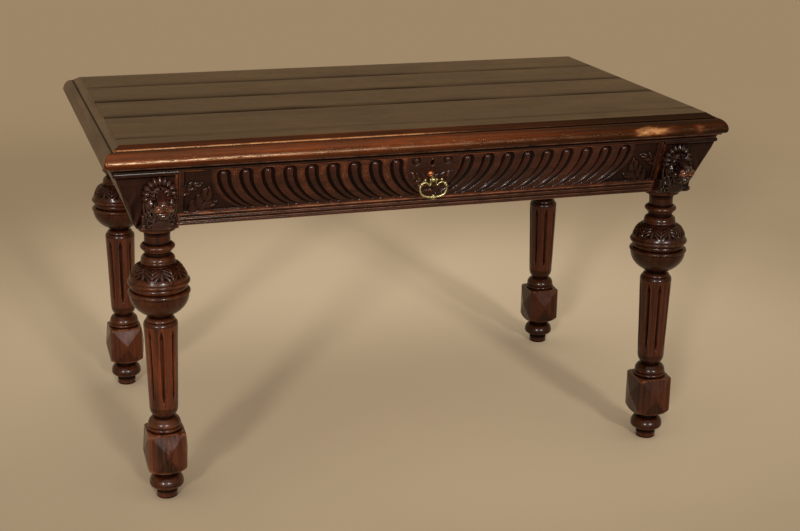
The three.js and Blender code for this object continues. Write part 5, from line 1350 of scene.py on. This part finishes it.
def revolved(profile, centre, axis):
    """Closed turning about an axis, from points [along, radius]."""
    axis = np.asarray(axis, float) / np.linalg.norm(axis)
    helper = np.array([0, 0, 1.0]) if abs(axis[2]) < NEARLY_UP else np.array([1.0, 0, 0])
    u = np.cross(axis, helper)
    u /= np.linalg.norm(u)
    angle = np.arange(PULL_SIDES)[:, None] / PULL_SIDES * 2 * math.pi
    around = np.cos(angle) * u + np.sin(angle) * np.cross(axis, u)
    return np.array([centre + axis * along + around * max(radius, LEAST) for along, radius in profile])


def smooth_line(points, steps):
    """Catmull-Rom line through the points."""
    padded = np.concatenate([[2 * points[0] - points[1]], points, [2 * points[-1] - points[-2]]])
    made = []
    for i in range(len(points) - 1):
        a, b, c, d = padded[i:i + 4]
        for t in np.arange(steps) / steps:
            made.append((2 * b + (c - a) * t + (2 * a - 5 * b + 4 * c - d) * t ** 2
                         + (3 * b - a - 3 * c + d) * t ** 3) / 2)
    return np.array([*made, points[-1]])


def swept(points, radii):
    """Rings of a round tube of changing radius along a line."""
    tangents = np.gradient(points, axis=0)
    tangents /= np.linalg.norm(tangents, axis=1, keepdims=True)
    side = np.cross(tangents[0], [0, 1.0, 0])
    angle = np.arange(BAIL_SIDES)[:, None] / BAIL_SIDES * 2 * math.pi
    rings = []
    for point, tangent, radius in zip(points, tangents, radii):
        side = side - tangent * (side @ tangent)
        side /= np.linalg.norm(side)
        rings.append(point + radius * (np.cos(angle) * side + np.sin(angle) * np.cross(tangent, side)))
    return np.array(rings)


OUTWARDS = on_slope(0, 0, 1) - on_slope(0, 0, 0)
BAR_POINT = on_slope(0, PULL_SLOPE, BAR_PROUD)


def pull_post():
    half = [(along * BAR_HALF, radius * BAR_RADIUS) for along, radius in BAR_PROFILE_SHARES]
    profile = half + [(-along, radius) for along, radius in half[-2::-1]]
    shape = Shape().loft(revolved(profile, BAR_POINT, [1, 0, 0]))
    shape.loft(revolved(POST, on_slope(0, PULL_SLOPE, 0), OUTWARDS))
    add_piece("cast_pull_post", shape, BRASS, "drawer", "brass", ["pull_post"], **CASTING)


def pull_rose():
    """Domed copper rose round the root of the pull's post."""
    shape = Shape().loft(revolved(ROSE, on_slope(ROSE_X, ROSE_SLOPE, 0), OUTWARDS))
    add_piece("copper_pull_rose", shape, copper(), "drawer", "brass", relief=ROSE_RELIEF, sharp=45)


def bail():
    shape = Shape()
    for side in (-1, 1):
        outline = np.array(BAIL_LINE_SHARES) * [side * BAIL_HALF_WIDTH, -BAIL_HEIGHT]
        line = smooth_line(BAR_POINT + np.insert(outline, 1, 0, axis=1), BAIL_STEPS)
        share = np.linspace(0, 1, len(line))
        swell = BAIL_THIN_SHARE + sum(more * ramp(share, *place) for more, place in BAIL_SWELLS)
        shape.loft(swept(line, BAIL_TUBE * swell * np.clip(BAIL_TIP_SHARE + share * BAIL_TIP_RISE, 0, 1)))
        place = int(len(line) * KNOP_SHARE)
        for profile in (KNOP, COLLAR):
            shape.loft(revolved(profile, line[place], line[place + KNOP_AIM] - line[place]))
        eye = revolved(EYE, BAR_POINT + [side * EYE_SHARE * BAIL_HALF_WIDTH, 0, 0], [1, 0, 0])
        rows, cols = eye.shape[:2]
        first, last = np.arange(cols), (rows - 1) * cols + np.arange(cols)
        bore = np.stack([last, np.roll(last, -1), np.roll(first, -1), first], -1)
        shape.add(eye, quads(rows, cols, True) + bore.tolist())
        end = BAR_POINT + [side * CUFF_SHARE * BAIL_HALF_WIDTH, 0, -BAIL_HEIGHT]
        shape.loft(revolved(CUFF, end, [side, 0, 0]))
    shape.loft(revolved(DROP, BAR_POINT + [0, 0, -BAIL_HEIGHT], [0, 0, 1]))
    add_piece("cast_drop_bail", shape, BRASS, "bail", "brass", ["drop_bail"], **CASTING)


# Lion heads, as a smooth blend of lumps on a fine grid
SCULPT_STEP, SCULPT_MARGIN, SCULPT_FAR, SCULPT_BORDER = 0.9, 3, 50.0, 5
SCULPT_LOW = np.array([-47.0, 2.0, 0.0])
SCULPT_HIGH = np.array([47.0, 99.0, 122.0])


class Sculpt:
    """Signed distances on a grid: x to the right, f forwards from the frieze's foot, z up from its bottom."""

    def __init__(self):
        counts = np.ceil((SCULPT_HIGH - SCULPT_LOW) / SCULPT_STEP).astype(int) + 1
        self.axes = [low + np.arange(count) * SCULPT_STEP for low, count in zip(SCULPT_LOW, counts)]
        self.value = np.full(counts, SCULPT_FAR, np.float32)

    def window(self, low, high):
        cuts = []
        for axis, start, stop in zip(self.axes, low, high):
            start, stop = np.searchsorted(axis, start), np.searchsorted(axis, stop)
            cuts.append(slice(max(start, 0), max(stop, start + 1)))
        grid = np.meshgrid(*[axis[cut] for axis, cut in zip(self.axes, cuts)], indexing="ij")
        return tuple(cuts), np.stack(grid, -1)

    def join(self, distance, low, high, soft, sign=1):
        """Adds a form with a soft seam, or with a sign of -1 takes it away."""
        around = soft + SCULPT_MARGIN
        cuts, points = self.window(np.asarray(low) - around, np.asarray(high) + around)
        new = sign * distance(points)
        old = self.value[cuts]
        share = np.clip(0.5 + sign * 0.5 * (old - new) / soft, 0, 1)
        self.value[cuts] = old + (new - old) * share - sign * soft * share * (1 - share)


def ellipsoid(centre, radii, lean):
    """Distance to an ellipsoid leaned about x, in degrees, with its corners."""
    centre, radii = np.array(centre, float), np.array(radii, float)
    spin = np.array(Matrix.Rotation(math.radians(lean), 3, "X"))

    def distance(points):
        local = (points - centre) @ spin
        k0 = np.sqrt(((local / radii) ** 2).sum(-1))
        k1 = np.sqrt(((local / radii ** 2) ** 2).sum(-1))
        return k0 * (k0 - 1) / np.maximum(k1, TINY)
    return distance, centre - radii.max(), centre + radii.max()


def strand(points, radii):
    """Distance to a chain of tapering rods, with its corners."""
    points, radii = np.array(points, float), np.array(radii, float)

    def distance(where):
        rods = []
        for a, b, ra, rb in zip(points[:-1], points[1:], radii[:-1], radii[1:]):
            run = b - a
            share = np.clip(((where - a) @ run) / (run @ run), 0, 1)
            away = np.linalg.norm(where - a - share[..., None] * run, axis=-1)
            rods.append(away - lerp(ra, rb, share))
        return np.minimum.reduce(rods)
    return distance, points.min(0) - radii.max(), points.max(0) + radii.max()


# Lumps of the head: centre (side, forward, up), radii, softness of the blend, lean; mirrored off the middle
LION_LUMPS = [
    ((0, 34, 70), (25, 18, 26), 4, 0),
    ((0, 45, 85), (16, 9, 8), 4, 0),
    ((0, 66, 61), (16, 24, 12), 5, 0),
    ((8, 80, 58), (10, 11, 9.5), 2.5, 0),
    ((0, 87, 66.5), (8, 6.5, 5.5), 2, 20),
    ((4.5, 90, 64), (4.2, 3.6, 3.6), 1.5, 0),
    ((0, 62, 44), (12, 18, 8), 3, 8),
    ((0, 74, 42), (8.5, 8, 7), 3, 0),
    ((19, 42, 60), (9, 14, 14), 4, 0),
    ((14, 54, 51), (7, 12, 8), 3, 0),
    ((24, 40, 88), (5.5, 6, 6.5), 1.5, 0),
    ((0, 30, 22), (29, 12, 22), 5, 0),
]
LION_CUTS = [
    ((13, 54.5, 75.5), (7.5, 6.5, 5.0), 2, 0),
    ((23.5, 45, 88), (3, 4, 4), 1.0, 0),
    ((3.6, 94.5, 63.8), (1.9, 3.2, 1.5), 0.8, 0),
    ((0, 54, 89), (1.6, 8, 6), 2, 0),
    ((0, 84, 52.2), (15, 12, 0.9), 0.8, 0),
]
LION_EYES = [((13, 48.5, 75.8), (4.6, 4.6, 4.6), 0.3, 0)]
# Rods of the face: points, radii, softness; mirrored
LION_RODS = [
    ([(0, 55, 82), (0, 70, 76), (0, 86, 69.5)], [5.2, 5.4, 5.0], 3),
    ([(4, 52, 82), (6.5, 68, 76), (5.5, 83, 70)], [4.4, 4.6, 4.4], 3),
    ([(4, 58, 83), (12, 59, 86.5), (20, 51, 86), (24, 42, 80)], [2.4, 2.8, 2.4, 1.4], 0.8),
    ([(6.5, 54.5, 74.5), (13, 56, 71), (19.5, 50, 73)], [1.0, 1.5, 1.0], 0.6),
    ([(6.5, 55.5, 76.5), (13, 57, 80), (20.5, 50.5, 77.5)], [1.0, 1.4, 1.0], 0.6),
    ([(6, 57, 79), (12.5, 58.5, 83), (20, 52, 81.5)], [0.9, 1.1, 0.9], 0.5),
    ([(20, 52, 68), (22.5, 50, 59), (20, 52, 50), (15, 58, 42)], [2.2, 2.6, 2.4, 1.2], 0.7),
    ([(24, 45, 69), (27, 44, 58), (25, 45, 47), (20, 48, 36)], [2.4, 2.8, 2.4, 1.2], 0.7),
    ([(28, 38, 66), (31, 37, 54), (30, 37, 42), (26, 38, 30)], [2.4, 2.8, 2.4, 1.2], 0.7),
    ([(16, 76, 50.5), (9, 86, 49), (0, 89, 50.5)], [1.4, 1.6, 1.6], 0.8),
    ([(12, 84, 61), (16, 77, 60), (18, 70, 57)], [0.9, 1.0, 0.7], 0.5),
    ([(11, 85, 57), (15, 79, 55), (17, 72, 52)], [0.9, 1.0, 0.7], 0.5),
]
# Beard locks: side and height of root and tip, forward of root and tip, sway
BEARD = [
    (0, 40, 0, 24, 66, 44, 2), (5, 41, 6, 26, 65, 44, -2), (9.5, 43, 11, 22, 61, 40, 2.5),
    (14, 45, 17, 27, 56, 39, -2.5), (18.5, 47, 22, 22, 50, 35, 3), (23, 50, 27, 27, 44, 33, -2.5),
    (27, 54, 31, 22, 38, 31, 2.5),
]
BEARD_RADII, BEARD_SWAY_SHARE, BEARD_DROOP, LOCK_SOFT = [1.8, 2.6, 3.0, 2.7, 2.0, 0.9], 0.7, 0.7, 0.4
CURL_X, CURL_FORWARD, CURL_UP, CURL_RADIUS, CURL_FALL = 26, 37, 14, 6.5, 0.4
CURL_RADII, CURL_ANGLES = [2.2] * 11 + [1.4], np.linspace(-0.6, 4.6, 12)
FACE_CENTRE = 70.0
MANE_TUFTS, MANE_SPACING, MANE_STRANDS = 13, 18.5, 3
MANE_INNER, MANE_OUTER, MANE_SIDE_SHORTER, MANE_NARROW = 27.5, 41, 1.5, 0.86
MANE_FRONT, MANE_OFF_WALL, MANE_SWELL, MANE_CURVE = 46, 3.0, 2.2, 1.4
STRAND_SPREAD, SPREAD_ROOT, SPREAD_MORE, SPREAD_TURN = 2.3, 0.7, 0.5, 0.8
MANE_PLACE_SHARES, MANE_RADII, MANE_SOFT = (0.0, 0.35, 0.7, 1.0), [1.7, 2.5, 2.2, 1.0], 0.5


def mirrored(centre):
    x, f, z = centre
    return [(x, f, z)] if x == 0 else [(x, f, z), (-x, f, z)]


def mane_strand(angle, side):
    """Line of one strand of a tuft, from the face down to the wall."""
    line = []
    for share in MANE_PLACE_SHARES:
        radius = lerp(MANE_INNER, MANE_OUTER - MANE_SIDE_SHORTER * abs(side), share)
        spread = side * STRAND_SPREAD * (SPREAD_ROOT + SPREAD_MORE * math.sin(math.pi * share * SPREAD_TURN))
        x = (radius * math.sin(angle) + spread * math.cos(angle)) * MANE_NARROW
        z = FACE_CENTRE + radius * math.cos(angle) - spread * math.sin(angle)
        down = cant_at(z) + MANE_OFF_WALL
        middle = MANE_SWELL * (1 - abs(side)) * math.sin(math.pi * share)
        line.append((x, max(down, lerp(MANE_FRONT, down, share ** MANE_CURVE)) + middle, z))
    return line


def beard_lock(side, x0, z0, x1, z1, f0, f1, sway):
    line = []
    steps = len(BEARD_RADII) - 1
    for k in range(steps + 1):
        share = k / steps
        x = lerp(x0, x1, share) + sway * math.sin(2 * math.pi * share) * BEARD_SWAY_SHARE
        line.append((side * x, lerp(f0, f1, share ** BEARD_DROOP), lerp(z0, z1, share)))
    return line


def sculpt_lion():
    sculpt = Sculpt()
    for lumps, sign in ((LION_LUMPS, 1), (LION_CUTS, -1), (LION_EYES, 1)):
        for centre, radii, soft, lean in lumps:
            for place in mirrored(centre):
                sculpt.join(*ellipsoid(place, radii, lean), soft, sign)
    for points, radii, soft in LION_RODS:
        for side in (1, -1):
            sculpt.join(*strand(np.array(points) * [side, 1, 1], radii), soft)
    for i in range(MANE_TUFTS):
        angle = math.radians((i - (MANE_TUFTS - 1) / 2) * MANE_SPACING)
        for k in range(MANE_STRANDS):
            line = mane_strand(angle, k - (MANE_STRANDS - 1) / 2)
            sculpt.join(*strand(line, MANE_RADII), MANE_SOFT)
    for side in (1, -1):
        for lock in BEARD:
            sculpt.join(*strand(beard_lock(side, *lock), BEARD_RADII), LOCK_SOFT)
        curl = [(side * (CURL_X + (CURL_RADIUS - a) * math.cos(a)), CURL_FORWARD - a * CURL_FALL,
                 CURL_UP + (CURL_RADIUS - a) * math.sin(a)) for a in CURL_ANGLES]
        sculpt.join(*strand(curl, CURL_RADII), LOCK_SOFT)
    bust(sculpt)
    return surface_net(sculpt)


BUST_HALF, BUST_LOW, BUST_HIGH, BUST_FLOOR = 34.5, 4.3, 34, 4.2
BUST_FRONT, BUST_LEAN, BUST_LEAN_FROM, BUST_LEAN_TO, BUST_SOFT = 30.5, 4, 8, 28, 1.2
# Grooves across the bust: forward, up
BUST_GROOVES = [(36.5, 19.5), (34.5, 11.5)]
GROOVE_RADIUS, GROOVE_SOFT, BAND_CLEAR = 2.6, 0.8, 1
# Corners of the spaces where the plinth and the grooves are blended in
BUST_CORNERS, GROOVE_CORNERS = ((-35, 4, 4), (35, 36, 36)), ((-40, 28, 7), (40, 42, 24))


def bust(sculpt):
    """Plinth of the mask down to the foot of the block, and the flat cut along the canted wall."""
    def plinth(points):
        x, f, z = np.moveaxis(points, -1, 0)
        front = BUST_FRONT + BUST_LEAN * ramp(z, BUST_LEAN_FROM, BUST_LEAN_TO)
        return np.maximum.reduce([np.abs(x) - BUST_HALF, f - front, BUST_LOW - z, z - BUST_HIGH])

    def grooves(points):
        f, z = points[..., 1], points[..., 2]
        return np.min([np.hypot(f - forward, z - up) for forward, up in BUST_GROOVES], 0) - GROOVE_RADIUS
    sculpt.join(plinth, *BUST_CORNERS, BUST_SOFT)
    sculpt.join(grooves, *GROOVE_CORNERS, GROOVE_SOFT, -1)
    cuts, points = sculpt.window(SCULPT_LOW, SCULPT_HIGH + 1)
    f, z = points[..., 1], points[..., 2]
    behind = (cant_at(z) + GAP / math.cos(CANT) - f) * math.cos(CANT)
    over = z - (CANT_HEIGHT - BAND_HEIGHT - GAP - BAND_CLEAR)
    sculpt.value[cuts] = np.maximum.reduce([sculpt.value[cuts], behind, over, BUST_FLOOR - z])


NEAR, FAR = slice(0, -1), slice(1, None)
OTHER_AXES = [(1, 2), (0, 2), (0, 1)]


def net_points(value, inside):
    """A point for each cell that the surface crosses, and for each cell the number of its point."""
    cells = np.array(value.shape) - 1
    total = np.zeros((*cells, 3), np.float32)
    number = np.zeros(cells, np.float32)
    for axis, others in enumerate(OTHER_AXES):
        for steps in ((0, 0), (0, 1), (1, 0), (1, 1)):
            low, high = [NEAR] * 3, [FAR] * 3
            for other, step in zip(others, steps):
                low[other] = high[other] = (NEAR, FAR)[step]
            a, b = value[tuple(low)], value[tuple(high)]
            crossing = inside[tuple(low)] != inside[tuple(high)]
            total[..., axis] += np.where(crossing, a / np.where(crossing, a - b, 1), 0)
            for other, step in zip(others, steps):
                total[..., other] += crossing * step
            number += crossing
    used = number > 0
    index = np.full(cells, -1)
    index[used] = np.arange(used.sum())
    places = np.argwhere(used) + total[used] / number[used][:, None]
    return SCULPT_LOW + places * SCULPT_STEP, index


def net_faces(inside, index):
    """A quad round each edge of the grid that the surface crosses."""
    faces = []
    for axis, others in enumerate(OTHER_AXES):
        low, high = [slice(1, -1)] * 3, [slice(1, -1)] * 3
        low[axis], high[axis] = NEAR, FAR
        edge = np.argwhere(inside[tuple(low)] != inside[tuple(high)]) + (np.arange(3) != axis)
        quad = []
        for steps in ((-1, -1), (0, -1), (0, 0), (-1, 0)):
            shift = np.zeros(3, int)
            shift[list(others)] = steps
            quad.append(index[tuple((edge + shift).T)])
        faces.append(np.stack(quad, -1))
    return np.concatenate(faces)


def surface_net(sculpt):
    """Points and quads of the zero surface of the grid."""
    for axis in range(3):
        np.moveaxis(sculpt.value, axis, 0)[[0, -1]] = SCULPT_BORDER
    inside = sculpt.value < 0
    points, index = net_points(sculpt.value, inside)
    return points, net_faces(inside, index)


# Shade of each lion's head: the right one takes painted shade, where the light falls off
LION_SHADES = {"left": (-1, 0.0), "right": (1, 0.65)}
INNER_CLEAR = 0.5
# Bright muzzle: where its wear starts and is full, forwards and upwards from below and from above
MUZZLE_FORWARD, MUZZLE_FROM_BELOW, MUZZLE_FROM_ABOVE = (80, 86), (50, 54), (69, 64)
MUZZLE_WEAR, FACE_DIRT, MUZZLE_BRIGHT, MUZZLE_WAVE, MUZZLE_UNEVEN = 0.6, 0.28, 0.75, 9, 1.2


def lion_masks():
    points, faces = sculpt_lion()
    inner_edge = BLOCK_INNER_X + INNER_CLEAR
    f, z = points[:, 1], points[:, 2]
    muzzle = ramp(f, *MUZZLE_FORWARD) * ramp(z, *MUZZLE_FROM_BELOW) * ramp(z, *MUZZLE_FROM_ABOVE)
    muzzle = muzzle * np.clip(MUZZLE_BRIGHT + wobble(points, MUZZLE_WAVE, MUZZLE_UNEVEN, seed=4), 0, 1)
    for name, (side, shade) in LION_SHADES.items():
        x = points[:, 0] + side * LEG_X
        x = np.where(side * x < inner_edge, side * inner_edge, x)
        shape = Shape().add(np.stack([x, -(FOOT_Y + f), FRIEZE_BOTTOM + z], -1), faces.tolist())
        material = carved_oak(100, ALONG_Z, worn=(148, 84, 46), shine=0.5, coat=0.45)
        paint = MUZZLE_WEAR * muzzle - FACE_DIRT * (1 - muzzle)
        add_piece(f"lion_mask_{name}", shape, material, "desk", "oak_carved", [f"lion_head_{name}"],
                  relief=LION_RELIEF, sharp=80, paint=paint, shade=shade * (1 - muzzle))


# Camera at the photo's place and angle
CAMERA = (-922.0, -3068.4, 1374.4)
CAMERA_YAW, CAMERA_PITCH, CAMERA_ROLL = 17.657, 17.696, 0.72
FOCAL_PIXELS, PHOTO_WIDTH, SENSOR_WIDTH = 1467.9, 800, 36.0
NEAREST_SEEN, FURTHEST_SEEN = 0.05, 100


def camera():
    yaw, pitch, roll = (math.radians(a) for a in (CAMERA_YAW, CAMERA_PITCH, CAMERA_ROLL))
    forward = Vector((math.sin(yaw) * math.cos(pitch), math.cos(yaw) * math.cos(pitch), -math.sin(pitch)))
    right = Vector((math.cos(yaw), -math.sin(yaw), 0))
    up = right.cross(forward)
    right, up = math.cos(roll) * right + math.sin(roll) * up, math.cos(roll) * up - math.sin(roll) * right
    data = bpy.data.cameras.new("camera")
    data.sensor_width = SENSOR_WIDTH
    data.lens = FOCAL_PIXELS / PHOTO_WIDTH * SENSOR_WIDTH
    data.clip_start, data.clip_end = NEAREST_SEEN, FURTHEST_SEEN
    made = in_scene("camera", data)
    turn = Matrix((right, up, -forward)).transposed().to_4x4()
    x, y, z = CAMERA
    turn.translation = Vector((x, y + CENTRE_Y, z)) * MM
    made.matrix_world = turn
    bpy.context.scene.camera = made


# Floor, in metres: plain and pale, with a painted pool of light round the desk
FLOOR_REACH = 40.0
CLOUD_SIZE, FAR_FROM, FAR_TO = 0.9, 0.5, 3.5
LIGHT_CENTRE, LIGHT_EDGE, LIGHT_CORE, LIGHT_SHARE = (0.2, 0.5, 0), 1.9, 0.1, 0.62
FLOOR_DARK, FLOOR_LIGHT, FLOOR_SPAN = (172, 151, 123), (181, 160, 131), (0.3, 0.7)
FLOOR_FAR, FLOOR_LIT, FLOOR_ROUGH, FLOOR_SHINE = (176, 153, 121), (252, 228, 192), 0.9, 0.1


def floor():
    mesh = bpy.data.meshes.new("floor")
    corners = [(x * FLOOR_REACH, y * FLOOR_REACH, 0) for x, y in ((-1, -1), (1, -1), (1, 1), (-1, 1))]
    mesh.from_pydata(corners, [], [(0, 1, 2, 3)])
    made = in_scene("floor", mesh)
    make = Nodes(bpy.data.materials.new("floor"))
    cloud = make.noise(along=CLOUD_SIZE, across=CLOUD_SIZE, roughness=0.5)
    colour = make.mix(make.span(cloud, *FLOOR_SPAN), FLOOR_DARK, FLOOR_LIGHT)
    backwards = make.node("SeparateXYZ", {0: make.place()}).outputs[1]
    colour = make.mix(make.span(backwards, FAR_FROM, FAR_TO), colour, FLOOR_FAR)
    # painted pool of light on the floor round the desk
    away = make.node("VectorMath", {0: make.place(), 1: LIGHT_CENTRE}, operation="DISTANCE").outputs["Value"]
    light = make.span(away, LIGHT_EDGE, LIGHT_CORE, interpolation_type="SMOOTHSTEP")
    make.link(make.mix(make.scaled(light, LIGHT_SHARE), colour, FLOOR_LIT), "Base Color")
    make.set(Roughness=FLOOR_ROUGH, Specular_IOR_Level=FLOOR_SHINE)
    mesh.materials.append(make.owner)


SKY, SKY_STRENGTH, BACKDROP = (236, 230, 220), 0.42, (160, 140, 110)


def sky():
    world = bpy.data.worlds.new("room")
    bpy.context.scene.world = world
    make = Nodes(world, "World Output")
    plain = make.tree.nodes["Background"]
    plain.inputs["Color"].default_value = linear(*SKY)
    plain.inputs["Strength"].default_value = SKY_STRENGTH
    seen = make.node("Background", {"Color": linear(*BACKDROP)})
    path = make.node("LightPath").outputs
    either = make.math("MAXIMUM", path["Is Camera Ray"], path["Is Glossy Ray"])
    either = make.math("MAXIMUM", either, path["Is Transmission Ray"])
    mixed = make.node("MixShader", {0: either, 1: plain.outputs[0], 2: seen.outputs[0]})
    make.link(mixed.outputs[0], "Surface")


# Lamps: turn from the front, to the sitter's right, and height in degrees, strength, softness in degrees
LAMPS = [("lamp_right", 7, 15, 1.6, 7), ("lamp_left", -33, 15, 1.5, 7), ("lamp_above", -20, 72, 0.55, 60)]
LAMP_COLOUR = (1.0, 0.97, 0.92)


def lamps():
    for name, turn, rise, strength, softness in LAMPS:
        data = bpy.data.lights.new(name, "SUN")
        data.energy = strength
        data.angle = math.radians(softness)
        data.color = LAMP_COLOUR
        made = in_scene(name, data)
        turn, rise = math.radians(turn), math.radians(rise)
        towards = Vector((math.sin(turn) * math.cos(rise), -math.cos(turn) * math.cos(rise), math.sin(rise)))
        made.rotation_mode = "QUATERNION"
        made.rotation_quaternion = (-towards).to_track_quat("-Z", "Y")


bpy.context.scene.view_settings.view_transform = "Standard"
camera()
floor()
sky()
lamps()

BRASS = brass()
field_boards()
edge_mouldings()
cove_moulds()
frieze_boards()
bottom_rail()
corner_blocks()
legs()
drawer_front()
lion_masks()
pull_post()
pull_rose()
bail()
inner_pieces()
dress("lock_bolt", BRASS)
dress("pull_nut", BRASS)
